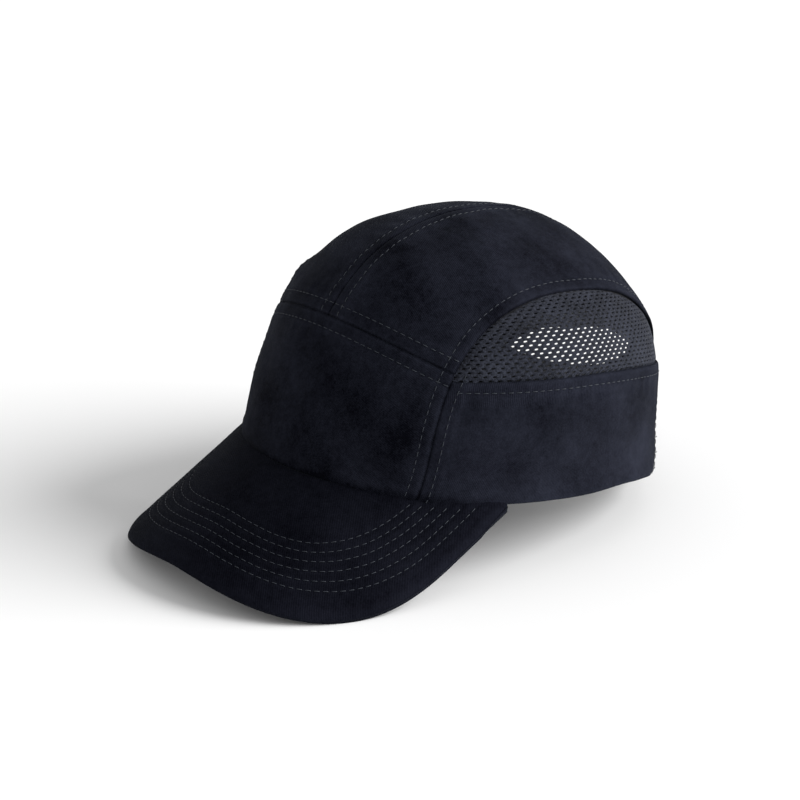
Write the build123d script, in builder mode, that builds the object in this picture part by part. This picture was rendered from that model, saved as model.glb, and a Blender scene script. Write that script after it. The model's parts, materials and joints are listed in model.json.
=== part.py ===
"""Bump cap: a sewn baseball-style cover over a removable protective shell with foam pads.

The cap is drawn in its rim frame and then stood in its rest pose.
Rim frame: origin at the centre of the head opening, +X to the wearer's left, the brim towards -Y,
+Z towards the top of the crown. Millimetres throughout.
Layers of the crown are counted by inset: how deep a surface lies below the cover's outer face.
"""

import os
from math import cos, pi, radians, sin, sqrt, tan

from build123d import *

# ---- crown -------------------------------------------------------------------------------------
CROWN_HEIGHT = 114.0
FRONT_REACH = 110.5
BACK_REACH = 104.5
HALF_WIDTH = 89.5
FRONT_FULLNESS = (0.46, 0.22, 1.16)
BACK_FULLNESS = (0.98, -0.45, 1.20)
SIDE_FULLNESS = (0.25, 4.60, -3.70)
SECTION_LEVELS = (0, 0.17, 0.33, 0.50, 0.65, 0.78, 0.88, 0.95, 0.985, 0.9995)
SKIRT_DEPTH = 26.0
REAR_RIM_DIP = 21.0
REAR_RIM_DIP_FROM_Y = 15.0
REAR_ARCH_HALF_WIDTH = 60.0
REAR_ARCH_HEIGHT = 45.0

# ---- spaces used for cutting, all reaching beyond the cap -----------------------------------------
BEYOND = 140.0
EVERYWHERE = (-BEYOND, BEYOND)
FRONT_HALF = (-BEYOND, 0)
BACK_HALF = (0, BEYOND)
LEFT_HALF = (0, BEYOND)

# ---- seams of the cover --------------------------------------------------------------------------
STRIP_HALF_WIDTH = 62.0
STRIP_TAPER = 0.0024
FRONT_SEAM_TOP = 71.0
FRONT_SEAM_DROP = 0.0035
MESH_SEAM_TOP = 56.7
MESH_SEAM_PEAK_Y = -5.0
MESH_SEAM_FRONT_DROP = 0.0006
MESH_SEAM_BACK_DROP = 0.0018

# ---- cloth layers, as insets (outer, inner) --------------------------------------------------------
PANEL_LAYER = (0.0, 1.0)
TAPE_LAYER = (1.05, 1.5)
BACKING_LAYER = (1.6, 2.4)
SWEATBAND_LAYER = (1.6, 3.4)
BROW_FOAM_LAYER = (3.5, 6.0)
STRAP_LAYER = (1.8, 2.8)
LOOP_PATCH_LAYER = (-0.1, 1.7)
HOOK_PATCH_LAYER = (-2.1, -0.45)
TAIL_LAYER = (-3.2, -2.2)
TAPE_HALF_WIDTH = 7.0
BINDING_WIDTH = 9.0
SWEATBAND_HEIGHT = 34.0
SWEATBAND_END_X = 72.0
BROW_FOAM_HALF_WIDTH = 54.0
BROW_FOAM_BAND = (4.0, 29.0)
BACKING_HALF_WIDTH = 48.0
BACKING_BAND = (38.0, 56.0)

# ---- brim --------------------------------------------------------------------------------------
BRIM_SLOPE = 33.6
BRIM_ARCH_RADIUS = 95.8
BRIM_TOP_AT_CROWN = 2.2
BRIM_HALF_WIDTH = 82.4
BRIM_SHOULDER_Y = -69.2
BRIM_REACH = 95.7
BRIM_SQUARENESS = 2.5
BRIM_ROOT = (81.9, -46.3)
BRIM_OUTLINE_STEPS = 9
BRIM_THICKNESS = 3.0
BOARD_DEPTHS = (0.65, 2.35)
UNDER_EDGE_INSET = 0.8
BOARD_EDGE_INSET = 2.5
CROWN_GAP = 0.05
BOARD_CROWN_GAP = 0.8

# ---- protective shell and its pads -----------------------------------------------------------------
SHELL_LAYER = (5.0, 7.2)
SHELL_EDGE_Z = 42.0
SHELL_BACK_RISE = 0.0030
SHELL_BACK_RISE_FROM_Y = 40.0
VENT_CENTRE = (5.0, 66.0)
VENT_RADII = (42.0, 8.0)
VENT_TILT = -6.5
TOP_SLOT = (24.0, 6.0)
TOP_SLOT_PITCH = (78.0, 38.0)
TOP_SLOT_ROWS = 3
CROWN_PAD_LAYER = (7.4, 12.4)
PAD_LAYER = (7.4, 11.4)
CROWN_PAD_SIZE = (48.0, 132.0)
PAD_CORNER = 12.0
PAD_END_ROUNDING = 0.33
FRONT_PAD = (92.0, 47.0, 72.0)
REAR_PAD = (80.0, 56.0, 74.0)
SIDE_PAD = (80.0, 44.5, 54.5)

# ---- rear strap --------------------------------------------------------------------------------
STRAP_WIDTH = 20.0
STRAP_RISE = 0.00294
TAIL_MARGIN = 0.7
STRAP_END_X = 70.0
RING_X = -46.0
RING_HEIGHT = 27.0
RING_BAR_SPACING = 11.0
RING_BAR_RADIUS = 1.1
RING_AXIS_INSET = -0.2
RING_CORNER_RADIUS = 2.5
SLEEVE_RADII = (2.0, 3.0)
STRAP_START_CLEARANCE = 3.5
TAIL_END_X = 16.0
LOOP_PATCH_X = (-30.0, 42.0)
HOOK_PATCH_X = (-30.0, 13.0)
PATCH_MARGIN = 1.5

# ---- rest pose: standing on the tips of the brim and the rear rim ----------------------------------
REST_TILT = -6.2
RIM_CENTRE = (0.0, 30.382, 31.116)
REST_POSE = Location(RIM_CENTRE, (REST_TILT, 0, 0))


def fullness(level, shape):
    """Share of the rim's reach that the crown still has at this share of its height."""
    a, b, c = shape
    return sqrt((1 - level) * (1 + a * level + b * level**2 + c * level**3))


def crown_outline(level, z, inset):
    """One level outline of the crown: a half ellipse in front and another behind."""
    front = (FRONT_REACH - inset) * fullness(level, FRONT_FULLNESS)
    back = (BACK_REACH - inset) * fullness(level, BACK_FULLNESS)
    side = (HALF_WIDTH - inset) * fullness(level, SIDE_FULLNESS)
    with BuildSketch(Plane.XY.offset(z)) as outline:
        with BuildLine():
            EllipticalCenterArc((0, 0), side, back, start_angle=0, arc_size=180)
            EllipticalCenterArc((0, 0), side, front, start_angle=180, arc_size=180)
        make_face()
    return outline.sketch


def dome(inset):
    """The whole space inside the crown surface at this inset, carried straight down below the rim."""
    height = CROWN_HEIGHT - inset
    outlines = [crown_outline(0, -SKIRT_DEPTH, inset)]
    for level in SECTION_LEVELS:
        outlines.append(crown_outline(level, level * height, inset))
    with BuildPart() as space:
        loft(outlines)
    return space.part


def wall(layer):
    """The crown's wall between two insets."""
    outer, inner = layer
    with BuildPart() as shell:
        add(dome(outer))
        add(dome(inner), mode=Mode.SUBTRACT)
    return shell.part


def parabola(start, end):
    """A curve that starts along the first axis and bends away as a parabola, start being its peak."""
    middle = ((start[0] + end[0]) / 2, start[1])
    return Bezier(start, middle, end)


def centre_strip(margin=0.0):
    """Plan-view space between the two side seams, wider by the margin on each side."""
    half_width = STRIP_HALF_WIDTH + margin
    end_x = half_width - STRIP_TAPER * BEYOND**2
    with BuildPart() as strip:
        with BuildSketch(Plane.XY.offset(-SKIRT_DEPTH)):
            with BuildLine():
                Polyline((0, -BEYOND), (half_width, -BEYOND), (half_width, 0))
                Bezier((half_width, 0), (half_width, BEYOND / 2), (end_x, BEYOND))
                Polyline((end_x, BEYOND), (0, BEYOND), (0, -BEYOND))
            make_face()
            mirror(about=Plane.YZ)
        extrude(amount=BEYOND + SKIRT_DEPTH)
    return strip.part


def under_front_seam(margin=0.0):
    """Space in front of the ears and below the seam that tops the front panel."""
    top = FRONT_SEAM_TOP + margin
    corner = top - FRONT_SEAM_DROP * BEYOND**2
    with BuildPart() as space:
        with BuildSketch(Plane.XZ):
            with BuildLine():
                parabola((0, top), (BEYOND, corner))
                Polyline((BEYOND, corner), (BEYOND, corner - BEYOND), (0, corner - BEYOND), (0, top))
            make_face()
            mirror(about=Plane.YZ)
        extrude(amount=BEYOND)
    return space.part


def side_view_space(lines):
    """Extrude a closed side-view outline, drawn by the given function, right across the cap."""
    with BuildPart() as space:
        with BuildSketch(Plane.YZ):
            with BuildLine():
                lines()
            make_face()
        extrude(amount=BEYOND, both=True)
    return space.part


def rim_z(y):
    """Height of the cover's lower edge: level in front, dipping towards the nape."""
    behind = max(y - REAR_RIM_DIP_FROM_Y, 0)
    return -REAR_RIM_DIP * (behind / (BACK_REACH - REAR_RIM_DIP_FROM_Y)) ** 2


def above_rim(raised=0.0):
    """Everything above the rim line raised by this much."""

    def lines():
        end = rim_z(BEYOND) + raised
        Line((-BEYOND, raised), (REAR_RIM_DIP_FROM_Y, raised))
        parabola((REAR_RIM_DIP_FROM_Y, raised), (BEYOND, end))
        Polyline((BEYOND, end), (BEYOND, BEYOND), (-BEYOND, BEYOND), (-BEYOND, raised))

    return side_view_space(lines)


def above_mesh_seam():
    """Everything above the seam that runs along the foot of the mesh panels."""

    def lines():
        peak = (MESH_SEAM_PEAK_Y, MESH_SEAM_TOP)
        front_end = MESH_SEAM_TOP - MESH_SEAM_FRONT_DROP * (BEYOND + MESH_SEAM_PEAK_Y) ** 2
        back_end = MESH_SEAM_TOP - MESH_SEAM_BACK_DROP * (BEYOND - MESH_SEAM_PEAK_Y) ** 2
        parabola(peak, (-BEYOND, front_end))
        parabola(peak, (BEYOND, back_end))
        Polyline((-BEYOND, front_end), (-BEYOND, BEYOND), (BEYOND, BEYOND), (BEYOND, back_end))

    return side_view_space(lines)


def above_shell_edge():
    """Everything above the protective shell's lower edge, which climbs over the rear arch."""

    def lines():
        bend = (SHELL_BACK_RISE_FROM_Y, SHELL_EDGE_Z)
        end = (BEYOND, SHELL_EDGE_Z + SHELL_BACK_RISE * (BEYOND - SHELL_BACK_RISE_FROM_Y) ** 2)
        Line((-BEYOND, SHELL_EDGE_Z), bend)
        parabola(bend, end)
        Polyline(end, (BEYOND, BEYOND), (-BEYOND, BEYOND), (-BEYOND, SHELL_EDGE_Z))

    return side_view_space(lines)


def rear_arch(margin=0.0):
    """Space behind the head inside the arched rear opening, wider by the margin all round."""
    half_width = REAR_ARCH_HALF_WIDTH + margin
    left_foot = (half_width, -SKIRT_DEPTH)
    right_foot = (-half_width, -SKIRT_DEPTH)
    with BuildPart() as space:
        with BuildSketch(Plane.XZ):
            with BuildLine():
                EllipticalCenterArc((0, 0), half_width, REAR_ARCH_HEIGHT + margin, arc_size=180)
                Polyline((-half_width, 0), right_foot, left_foot, (half_width, 0))
            make_face()
        extrude(amount=-BEYOND)
    return space.part


def block(x_range, y_range, z_range):
    """A plain box of space between these limits."""
    ranges = (x_range, y_range, z_range)
    middle = tuple((low + high) / 2 for low, high in ranges)
    size = tuple(high - low for low, high in ranges)
    with BuildPart() as space:
        with Locations(middle):
            Box(*size)
    return space.part


def save(piece, name):
    """Stand the piece in the cap's rest pose, label it and write its file."""
    piece.part.move(REST_POSE)
    piece.part.label = name
    export_step(piece.part, f"parts/{name}.step")
    box = piece.part.bounding_box()
    limits.append((box.min, box.max))


os.makedirs("parts", exist_ok=True)
limits = []

# ---- cover panels ---------------------------------------------------------------------------------
cloth = wall(PANEL_LAYER)
strip = centre_strip()
front_low = under_front_seam()
rim_up = above_rim()
arch = rear_arch()
mesh_up = above_mesh_seam()
left_half = block(LEFT_HALF, EVERYWHERE, EVERYWHERE)

with BuildPart() as front_panel:
    add(cloth)
    add(strip, mode=Mode.INTERSECT)
    add(front_low, mode=Mode.INTERSECT)
    add(rim_up, mode=Mode.INTERSECT)
save(front_panel, "front_panel")

with BuildPart() as crown_panel_left:
    add(cloth)
    add(strip, mode=Mode.INTERSECT)
    add(left_half, mode=Mode.INTERSECT)
    add(front_low, mode=Mode.SUBTRACT)
    add(arch, mode=Mode.SUBTRACT)
    add(rim_up, mode=Mode.INTERSECT)
with BuildPart() as crown_panel_right:
    mirror(crown_panel_left.part, about=Plane.YZ)
save(crown_panel_left, "crown_panel_left")
save(crown_panel_right, "crown_panel_right")

with BuildPart() as mesh_panel_left:
    add(cloth)
    add(strip, mode=Mode.SUBTRACT)
    add(left_half, mode=Mode.INTERSECT)
    add(mesh_up, mode=Mode.INTERSECT)
with BuildPart() as mesh_panel_right:
    mirror(mesh_panel_left.part, about=Plane.YZ)
save(mesh_panel_left, "mesh_panel_left")
save(mesh_panel_right, "mesh_panel_right")

with BuildPart() as side_panel_left:
    add(cloth)
    add(strip, mode=Mode.SUBTRACT)
    add(left_half, mode=Mode.INTERSECT)
    add(mesh_up, mode=Mode.SUBTRACT)
    add(rim_up, mode=Mode.INTERSECT)
    add(arch, mode=Mode.SUBTRACT)
with BuildPart() as side_panel_right:
    mirror(side_panel_left.part, about=Plane.YZ)
save(side_panel_left, "side_panel_left")
save(side_panel_right, "side_panel_right")

# ---- tapes inside the seams, binding of the rear arch, backing of the front panel ------------------
tape = wall(TAPE_LAYER)
strip_outside_tape = centre_strip(TAPE_HALF_WIDTH)
strip_inside_tape = centre_strip(-TAPE_HALF_WIDTH)
above_front_tape = under_front_seam(TAPE_HALF_WIDTH)
below_front_tape = under_front_seam(-TAPE_HALF_WIDTH)
arch_binding_edge = rear_arch(BINDING_WIDTH)

with BuildPart() as front_seam_tape:
    add(tape)
    add(strip_inside_tape, mode=Mode.INTERSECT)
    add(above_front_tape, mode=Mode.INTERSECT)
    add(below_front_tape, mode=Mode.SUBTRACT)
save(front_seam_tape, "front_seam_tape")

with BuildPart() as centre_seam_tape:
    add(tape)
    add(block((-TAPE_HALF_WIDTH, TAPE_HALF_WIDTH), EVERYWHERE, (0, BEYOND)), mode=Mode.INTERSECT)
    add(above_front_tape, mode=Mode.SUBTRACT)
    add(arch_binding_edge, mode=Mode.SUBTRACT)
save(centre_seam_tape, "centre_seam_tape")

with BuildPart() as side_seam_tape_left:
    add(tape)
    add(strip_outside_tape, mode=Mode.INTERSECT)
    add(strip_inside_tape, mode=Mode.SUBTRACT)
    add(left_half, mode=Mode.INTERSECT)
    add(rim_up, mode=Mode.INTERSECT)
    add(arch_binding_edge, mode=Mode.SUBTRACT)
with BuildPart() as side_seam_tape_right:
    mirror(side_seam_tape_left.part, about=Plane.YZ)
save(side_seam_tape_left, "side_seam_tape_left")
save(side_seam_tape_right, "side_seam_tape_right")

with BuildPart() as rear_arch_binding:
    add(tape)
    add(arch_binding_edge, mode=Mode.INTERSECT)
    add(arch, mode=Mode.SUBTRACT)
    add(rim_up, mode=Mode.INTERSECT)
save(rear_arch_binding, "rear_arch_binding")

with BuildPart() as front_panel_backing:
    add(wall(BACKING_LAYER))
    add(
        block((-BACKING_HALF_WIDTH, BACKING_HALF_WIDTH), FRONT_HALF, BACKING_BAND),
        mode=Mode.INTERSECT,
    )
save(front_panel_backing, "front_panel_backing")

# ---- sweatband ------------------------------------------------------------------------------------
with BuildPart() as sweatband:
    add(wall(SWEATBAND_LAYER))
    add(rim_up, mode=Mode.INTERSECT)
    add(above_rim(SWEATBAND_HEIGHT), mode=Mode.SUBTRACT)
    add(block((-SWEATBAND_END_X, SWEATBAND_END_X), BACK_HALF, EVERYWHERE), mode=Mode.SUBTRACT)
save(sweatband, "sweatband")

with BuildPart() as brow_foam:
    add(wall(BROW_FOAM_LAYER))
    add(
        block((-BROW_FOAM_HALF_WIDTH, BROW_FOAM_HALF_WIDTH), FRONT_HALF, BROW_FOAM_BAND),
        mode=Mode.INTERSECT,
    )
save(brow_foam, "brow_foam")

# ---- brim -----------------------------------------------------------------------------------------
brim_run = -BRIM_ROOT[1]
slope = tan(radians(BRIM_SLOPE))
arch_centre_z = BRIM_TOP_AT_CROWN + slope * (FRONT_REACH - brim_run) - BRIM_ARCH_RADIUS
brim_plane = Plane(origin=(0, -brim_run, arch_centre_z), x_dir=(1, 0, 0), z_dir=(0, -1, 0))
brim_direction = (0, -cos(radians(BRIM_SLOPE)), -sin(radians(BRIM_SLOPE)))


def brim_plan(edge_inset):
    """Plan-view space inside the brim's edge, a superellipse in front of its two shoulders."""
    half_width = BRIM_HALF_WIDTH - edge_inset
    reach = BRIM_REACH - edge_inset
    power = 2 / BRIM_SQUARENESS
    turns = [pi / 2 * step / BRIM_OUTLINE_STEPS for step in range(BRIM_OUTLINE_STEPS + 1)]
    edge = [
        (half_width * max(cos(turn), 0) ** power, BRIM_SHOULDER_Y - reach * sin(turn) ** power)
        for turn in turns
    ]
    edge[-1] = (0, BRIM_SHOULDER_Y - reach)
    root = (BRIM_ROOT[0] - edge_inset, BRIM_ROOT[1])
    with BuildPart() as space:
        with BuildSketch(Plane.XY.offset(-BEYOND)):
            with BuildLine():
                Spline(*edge, tangents=[(0, -1), (-1, 0)])
                Polyline(edge[0], root, (0, root[1]), edge[-1])
            make_face()
            mirror(about=Plane.YZ)
        extrude(amount=2 * BEYOND)
    return space.part


def brim_layer(depths, edge_inset, crown_gap):
    """A slice of the arched brim between two depths below its top face, cut clear of the crown."""
    top, bottom = depths
    with BuildPart() as layer:
        with BuildSketch(brim_plane):
            Circle(BRIM_ARCH_RADIUS - top)
            Circle(BRIM_ARCH_RADIUS - bottom, mode=Mode.SUBTRACT)
            with Locations((0, BRIM_ARCH_RADIUS)):
                Rectangle(2 * BEYOND, 2 * BRIM_ARCH_RADIUS - BRIM_THICKNESS, mode=Mode.INTERSECT)
        extrude(amount=2 * BEYOND, dir=brim_direction)
        add(brim_plan(edge_inset), mode=Mode.INTERSECT)
        add(dome(-crown_gap), mode=Mode.SUBTRACT)
    return layer.part


half_depth = BRIM_THICKNESS / 2
board_pocket = brim_layer(BOARD_DEPTHS, BOARD_EDGE_INSET, CROWN_GAP)

with BuildPart() as brim_board:
    add(brim_layer(BOARD_DEPTHS, BOARD_EDGE_INSET, BOARD_CROWN_GAP))
save(brim_board, "brim_board")

with BuildPart() as brim_top_cover:
    add(brim_layer((0, half_depth), 0, CROWN_GAP))
    add(board_pocket, mode=Mode.SUBTRACT)
save(brim_top_cover, "brim_top_cover")

with BuildPart() as brim_under_cover:
    add(brim_layer((half_depth, BRIM_THICKNESS), UNDER_EDGE_INSET, CROWN_GAP))
    add(board_pocket, mode=Mode.SUBTRACT)
save(brim_under_cover, "brim_under_cover")

# ---- protective shell -------------------------------------------------------------------------------
with BuildPart() as inner_shell:
    add(wall(SHELL_LAYER))
    add(above_shell_edge(), mode=Mode.INTERSECT)
    with BuildSketch(Plane.YZ):
        with Locations(VENT_CENTRE):
            Ellipse(*VENT_RADII, rotation=VENT_TILT)
    extrude(amount=BEYOND, both=True, mode=Mode.SUBTRACT)
    with BuildSketch(Plane.XY.offset(CROWN_HEIGHT / 2)):
        with GridLocations(*TOP_SLOT_PITCH, 2, TOP_SLOT_ROWS):
            SlotOverall(*TOP_SLOT)
    extrude(amount=BEYOND, mode=Mode.SUBTRACT)
save(inner_shell, "inner_shell")

with BuildPart() as crown_pad:
    add(wall(CROWN_PAD_LAYER))
    with BuildSketch(Plane.XY.offset(CROWN_HEIGHT / 2)):
        RectangleRounded(*CROWN_PAD_SIZE, PAD_CORNER)
    extrude(amount=BEYOND, mode=Mode.INTERSECT)
save(crown_pad, "crown_pad")

pad_wall = wall(PAD_LAYER)


def wall_pad(size, view, reach):
    """A pad on one wall of the shell; size is its width and its two heights, as seen in this view."""
    width, low, high = size
    height = high - low
    with BuildPart() as pad:
        add(pad_wall)
        with BuildSketch(view):
            with Locations((0, (low + high) / 2)):
                RectangleRounded(width, height, height * PAD_END_ROUNDING)
        extrude(amount=reach, mode=Mode.INTERSECT)
    return pad.part


with BuildPart() as front_pad:
    add(wall_pad(FRONT_PAD, Plane.XZ, BEYOND))
save(front_pad, "front_pad")

with BuildPart() as rear_pad:
    add(wall_pad(REAR_PAD, Plane.XZ, -BEYOND))
save(rear_pad, "rear_pad")

with BuildPart() as side_pad_left:
    add(wall_pad(SIDE_PAD, Plane.YZ, BEYOND))
with BuildPart() as side_pad_right:
    mirror(side_pad_left.part, about=Plane.YZ)
save(side_pad_left, "side_pad_left")
save(side_pad_right, "side_pad_right")

# ---- rear strap -------------------------------------------------------------------------------------
ring_side = HALF_WIDTH - RING_AXIS_INSET
ring_back = BACK_REACH - RING_AXIS_INSET
ring_y = ring_back * sqrt(1 - (RING_X / ring_side) ** 2)
strap_low = rim_z(BACK_REACH - STRAP_LAYER[0])
ring_z = strap_low + STRAP_RISE * RING_X**2 + STRAP_WIDTH / 2
along_strap = Vector(ring_y / ring_back**2, -RING_X / ring_side**2, 0).normalized()
ring_plane = Plane(origin=(RING_X, ring_y, ring_z), x_dir=along_strap, z_dir=(0, 0, 1))
bar_x = RING_BAR_SPACING / 2
sleeve_inner_radius, sleeve_outer_radius = SLEEVE_RADII


def along_rim(layer, margin=0.0):
    """A flat band on the back of the crown at this layer, as wide as the strap less two margins."""
    low = strap_low + margin
    high = strap_low + STRAP_WIDTH - margin
    side_rise = STRAP_RISE * BEYOND**2
    with BuildPart() as band:
        add(wall(layer))
        with BuildSketch(Plane.XZ):
            with BuildLine():
                parabola((0, low), (BEYOND, low + side_rise))
                Line((BEYOND, low + side_rise), (BEYOND, high + side_rise))
                parabola((0, high), (BEYOND, high + side_rise))
                Line((0, high), (0, low))
            make_face()
            mirror(about=Plane.YZ)
        extrude(amount=-BEYOND, mode=Mode.INTERSECT)
    return band.part


def beside_ring(start_x, side):
    """The half of space past a point on the line along the strap, seen from the ring's middle."""
    with BuildPart() as space:
        with BuildSketch(ring_plane.offset(-BEYOND)):
            with Locations((start_x + side * BEYOND, 0)):
                Rectangle(2 * BEYOND, 2 * BEYOND)
        extrude(amount=2 * BEYOND)
    return space.part


def sleeve(bar_side, margin=0.0):
    """The fold of webbing round one bar of the ring."""
    with BuildPart() as fold:
        with BuildSketch(ring_plane.offset(margin - STRAP_WIDTH / 2)):
            with Locations((bar_side * bar_x, 0)):
                Circle(sleeve_outer_radius)
                Circle(sleeve_inner_radius, mode=Mode.SUBTRACT)
        extrude(amount=STRAP_WIDTH - 2 * margin)
    return fold.part


with BuildPart() as strap:
    add(along_rim(STRAP_LAYER))
    add(beside_ring(bar_x + STRAP_START_CLEARANCE, 1), mode=Mode.INTERSECT)
    add(block((-STRAP_END_X, STRAP_END_X), EVERYWHERE, EVERYWHERE), mode=Mode.INTERSECT)
save(strap, "strap")

with BuildPart() as strap_loop_patch:
    add(along_rim(LOOP_PATCH_LAYER, PATCH_MARGIN))
    add(block(LOOP_PATCH_X, EVERYWHERE, EVERYWHERE), mode=Mode.INTERSECT)
save(strap_loop_patch, "strap_loop_patch")

with BuildPart() as ring_tab:
    add(along_rim(STRAP_LAYER))
    add(beside_ring(-bar_x, -1), mode=Mode.INTERSECT)
    add(block((-STRAP_END_X, STRAP_END_X), EVERYWHERE, EVERYWHERE), mode=Mode.INTERSECT)
    add(sleeve(-1))
save(ring_tab, "ring_tab")

outward = along_strap.cross(Vector(0, 0, 1))
ring_face = Plane(origin=(RING_X, ring_y, ring_z), x_dir=along_strap, z_dir=outward)
ring_half_height = RING_HEIGHT / 2 - RING_BAR_RADIUS
with BuildPart() as strap_ring:
    with BuildLine(ring_face) as ring_line:
        FilletPolyline(
            (bar_x, ring_half_height),
            (-bar_x, ring_half_height),
            (-bar_x, -ring_half_height),
            (bar_x, -ring_half_height),
            radius=RING_CORNER_RADIUS,
            close=True,
        )
    with BuildSketch(Plane(origin=ring_line.line @ 0, z_dir=ring_line.line % 0)):
        Circle(RING_BAR_RADIUS)
    sweep()
save(strap_ring, "strap_ring")

tail_end_centre = (TAIL_END_X - STRAP_WIDTH / 2, strap_low + STRAP_WIDTH / 2)
with BuildPart() as strap_tail:
    add(along_rim(TAIL_LAYER, TAIL_MARGIN))
    add(beside_ring(bar_x, 1), mode=Mode.INTERSECT)
    with BuildSketch(Plane.XZ):
        with Locations(tail_end_centre):
            Circle(STRAP_WIDTH / 2)
        with Locations((tail_end_centre[0] - BEYOND, tail_end_centre[1])):
            Rectangle(2 * BEYOND, 2 * STRAP_WIDTH)
    extrude(amount=-BEYOND, mode=Mode.INTERSECT)
    add(sleeve(1, TAIL_MARGIN))
save(strap_tail, "strap_tail")

with BuildPart() as strap_hook_patch:
    add(along_rim(HOOK_PATCH_LAYER, PATCH_MARGIN))
    add(block(HOOK_PATCH_X, EVERYWHERE, EVERYWHERE), mode=Mode.INTERSECT)
save(strap_hook_patch, "strap_hook_patch")

lowest = [min(tuple(low)[axis] for low, high in limits) for axis in range(3)]
highest = [max(tuple(high)[axis] for low, high in limits) for axis in range(3)]
hinge = REST_POSE * Location(ring_plane.from_local_coords(Vector(bar_x, 0, 0)))
print("lowest corner", lowest)
print("highest corner", highest)
print("strap hinge point", hinge.position)
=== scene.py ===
import json
import math

import bpy
import numpy as np
from mathutils import Matrix, Vector


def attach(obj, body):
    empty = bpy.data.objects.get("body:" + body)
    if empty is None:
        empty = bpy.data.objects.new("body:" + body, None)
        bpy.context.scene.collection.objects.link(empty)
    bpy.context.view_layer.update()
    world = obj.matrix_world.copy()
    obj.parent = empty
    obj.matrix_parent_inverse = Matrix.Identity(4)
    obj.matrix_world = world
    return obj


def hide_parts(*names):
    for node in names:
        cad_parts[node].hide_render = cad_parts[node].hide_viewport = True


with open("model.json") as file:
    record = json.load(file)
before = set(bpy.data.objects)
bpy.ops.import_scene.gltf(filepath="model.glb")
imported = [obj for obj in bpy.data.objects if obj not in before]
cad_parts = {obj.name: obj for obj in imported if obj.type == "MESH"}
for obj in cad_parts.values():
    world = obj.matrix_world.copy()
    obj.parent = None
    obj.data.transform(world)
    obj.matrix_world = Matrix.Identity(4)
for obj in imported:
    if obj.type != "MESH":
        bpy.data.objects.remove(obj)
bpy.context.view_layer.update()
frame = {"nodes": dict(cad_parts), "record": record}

# The cap is drawn in its rim frame, in millimetres: origin at the centre of the head opening, +X to the
# wearer's left, the brim towards -Y, +Z to the top of the crown. place() stands it in the row frame.
# Insets count how deep a layer lies below the outer face of the cover's cloth.

MM = 0.001

# ---- the cap's driving sizes ------------------------------------------------------------------------
CROWN_HEIGHT = 114.0
FRONT_REACH = 110.5
BACK_REACH = 104.5
HALF_WIDTH = 89.5
FRONT_FULLNESS = (0.46, 0.22, 1.16)
BACK_FULLNESS = (0.98, -0.45, 1.20)
SIDE_FULLNESS = (0.25, 4.60, -3.70)
REAR_RIM_DIP = 21.0
REAR_RIM_DIP_FROM_Y = 15.0
ARCH_HALF_WIDTH = 60.0
ARCH_HEIGHT = 45.0
STRIP_HALF_WIDTH = 62.0
STRIP_TAPER = 0.0024
FRONT_SEAM_TOP = 71.0
FRONT_SEAM_DROP = 0.0035
MESH_SEAM_TOP = 56.7
MESH_SEAM_PEAK_Y = -5.0
MESH_SEAM_DROPS = (0.0006, 0.0018)

BRIM_SLOPE = math.tan(math.radians(33.6))
BRIM_ARCH_RADIUS = 95.8
BRIM_TOP_AT_CROWN = 2.2
BRIM_HALF_WIDTH = 82.4
BRIM_SHOULDER_Y = -69.2
BRIM_REACH = 95.7
BRIM_SQUARENESS = 2.5
BRIM_ROOT_X = 82.7
BRIM_ROOT_Y = -42.5
BRIM_THICKNESS = 3.0
BRIM_TUCK = 1.9

# ---- where the cap stands --------------------------------------------------------------------------
head_opening = next(m for m in frame["record"]["mounts"] if m["name"] == "head_opening")
RIM_CENTRE = np.array(head_opening["pos_m"])
RIM_UP = -np.array(head_opening["axis"])
RIM_RIGHT = np.array([1.0, 0.0, 0.0])
RIM_BACK = np.cross(RIM_UP, RIM_RIGHT)


def place(points):
    """Points in the rim frame, in millimetres, as points in the row frame, in metres."""
    p = np.asarray(points, float) * MM
    return RIM_CENTRE + p[..., :1] * RIM_RIGHT + p[..., 1:2] * RIM_BACK + p[..., 2:3] * RIM_UP


# ---- the crown's surface ---------------------------------------------------------------------------
def fullness(level, shape):
    a, b, c = shape
    return np.sqrt(np.maximum((1 - level) * (1 + a * level + b * level**2 + c * level**3), 1e-9))


def crown_axes(z, inset=0.0):
    """Half width, front reach and back reach of the crown at this height."""
    level = np.clip(z, 0, None) / (CROWN_HEIGHT - inset)
    level = np.minimum(level, 0.99999)
    return (
        (HALF_WIDTH - inset) * fullness(level, SIDE_FULLNESS),
        (FRONT_REACH - inset) * fullness(level, FRONT_FULLNESS),
        (BACK_REACH - inset) * fullness(level, BACK_FULLNESS),
    )


def crown_reading(p, inset=0.0):
    """Below 1 inside the crown surface at this inset, above 1 outside it."""
    side, front, back = crown_axes(p[..., 2], inset)
    reach = np.where(p[..., 1] < 0, front, back)
    flat = np.sqrt((p[..., 0] / side) ** 2 + (p[..., 1] / reach) ** 2)
    return np.where(p[..., 2] >= CROWN_HEIGHT - inset, 1.0 + p[..., 2] / CROWN_HEIGHT, flat)


EYE_LEVEL = 40.0


def on_crown(points, inset=0.0):
    """Move points onto the crown surface at this inset, away from the middle of the head."""
    p = np.asarray(points, float)
    centre = np.zeros_like(p)
    centre[..., 2] = np.minimum(p[..., 2], EYE_LEVEL)
    ray = p - centre
    low = np.full(p.shape[:-1], 0.3)
    high = np.full(p.shape[:-1], 2.0)
    for _ in range(40):
        middle = (low + high) / 2
        outside = crown_reading(centre + ray * middle[..., None], inset) > 1
        high = np.where(outside, middle, high)
        low = np.where(outside, low, middle)
    return centre + ray * ((low + high) / 2)[..., None]


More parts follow.
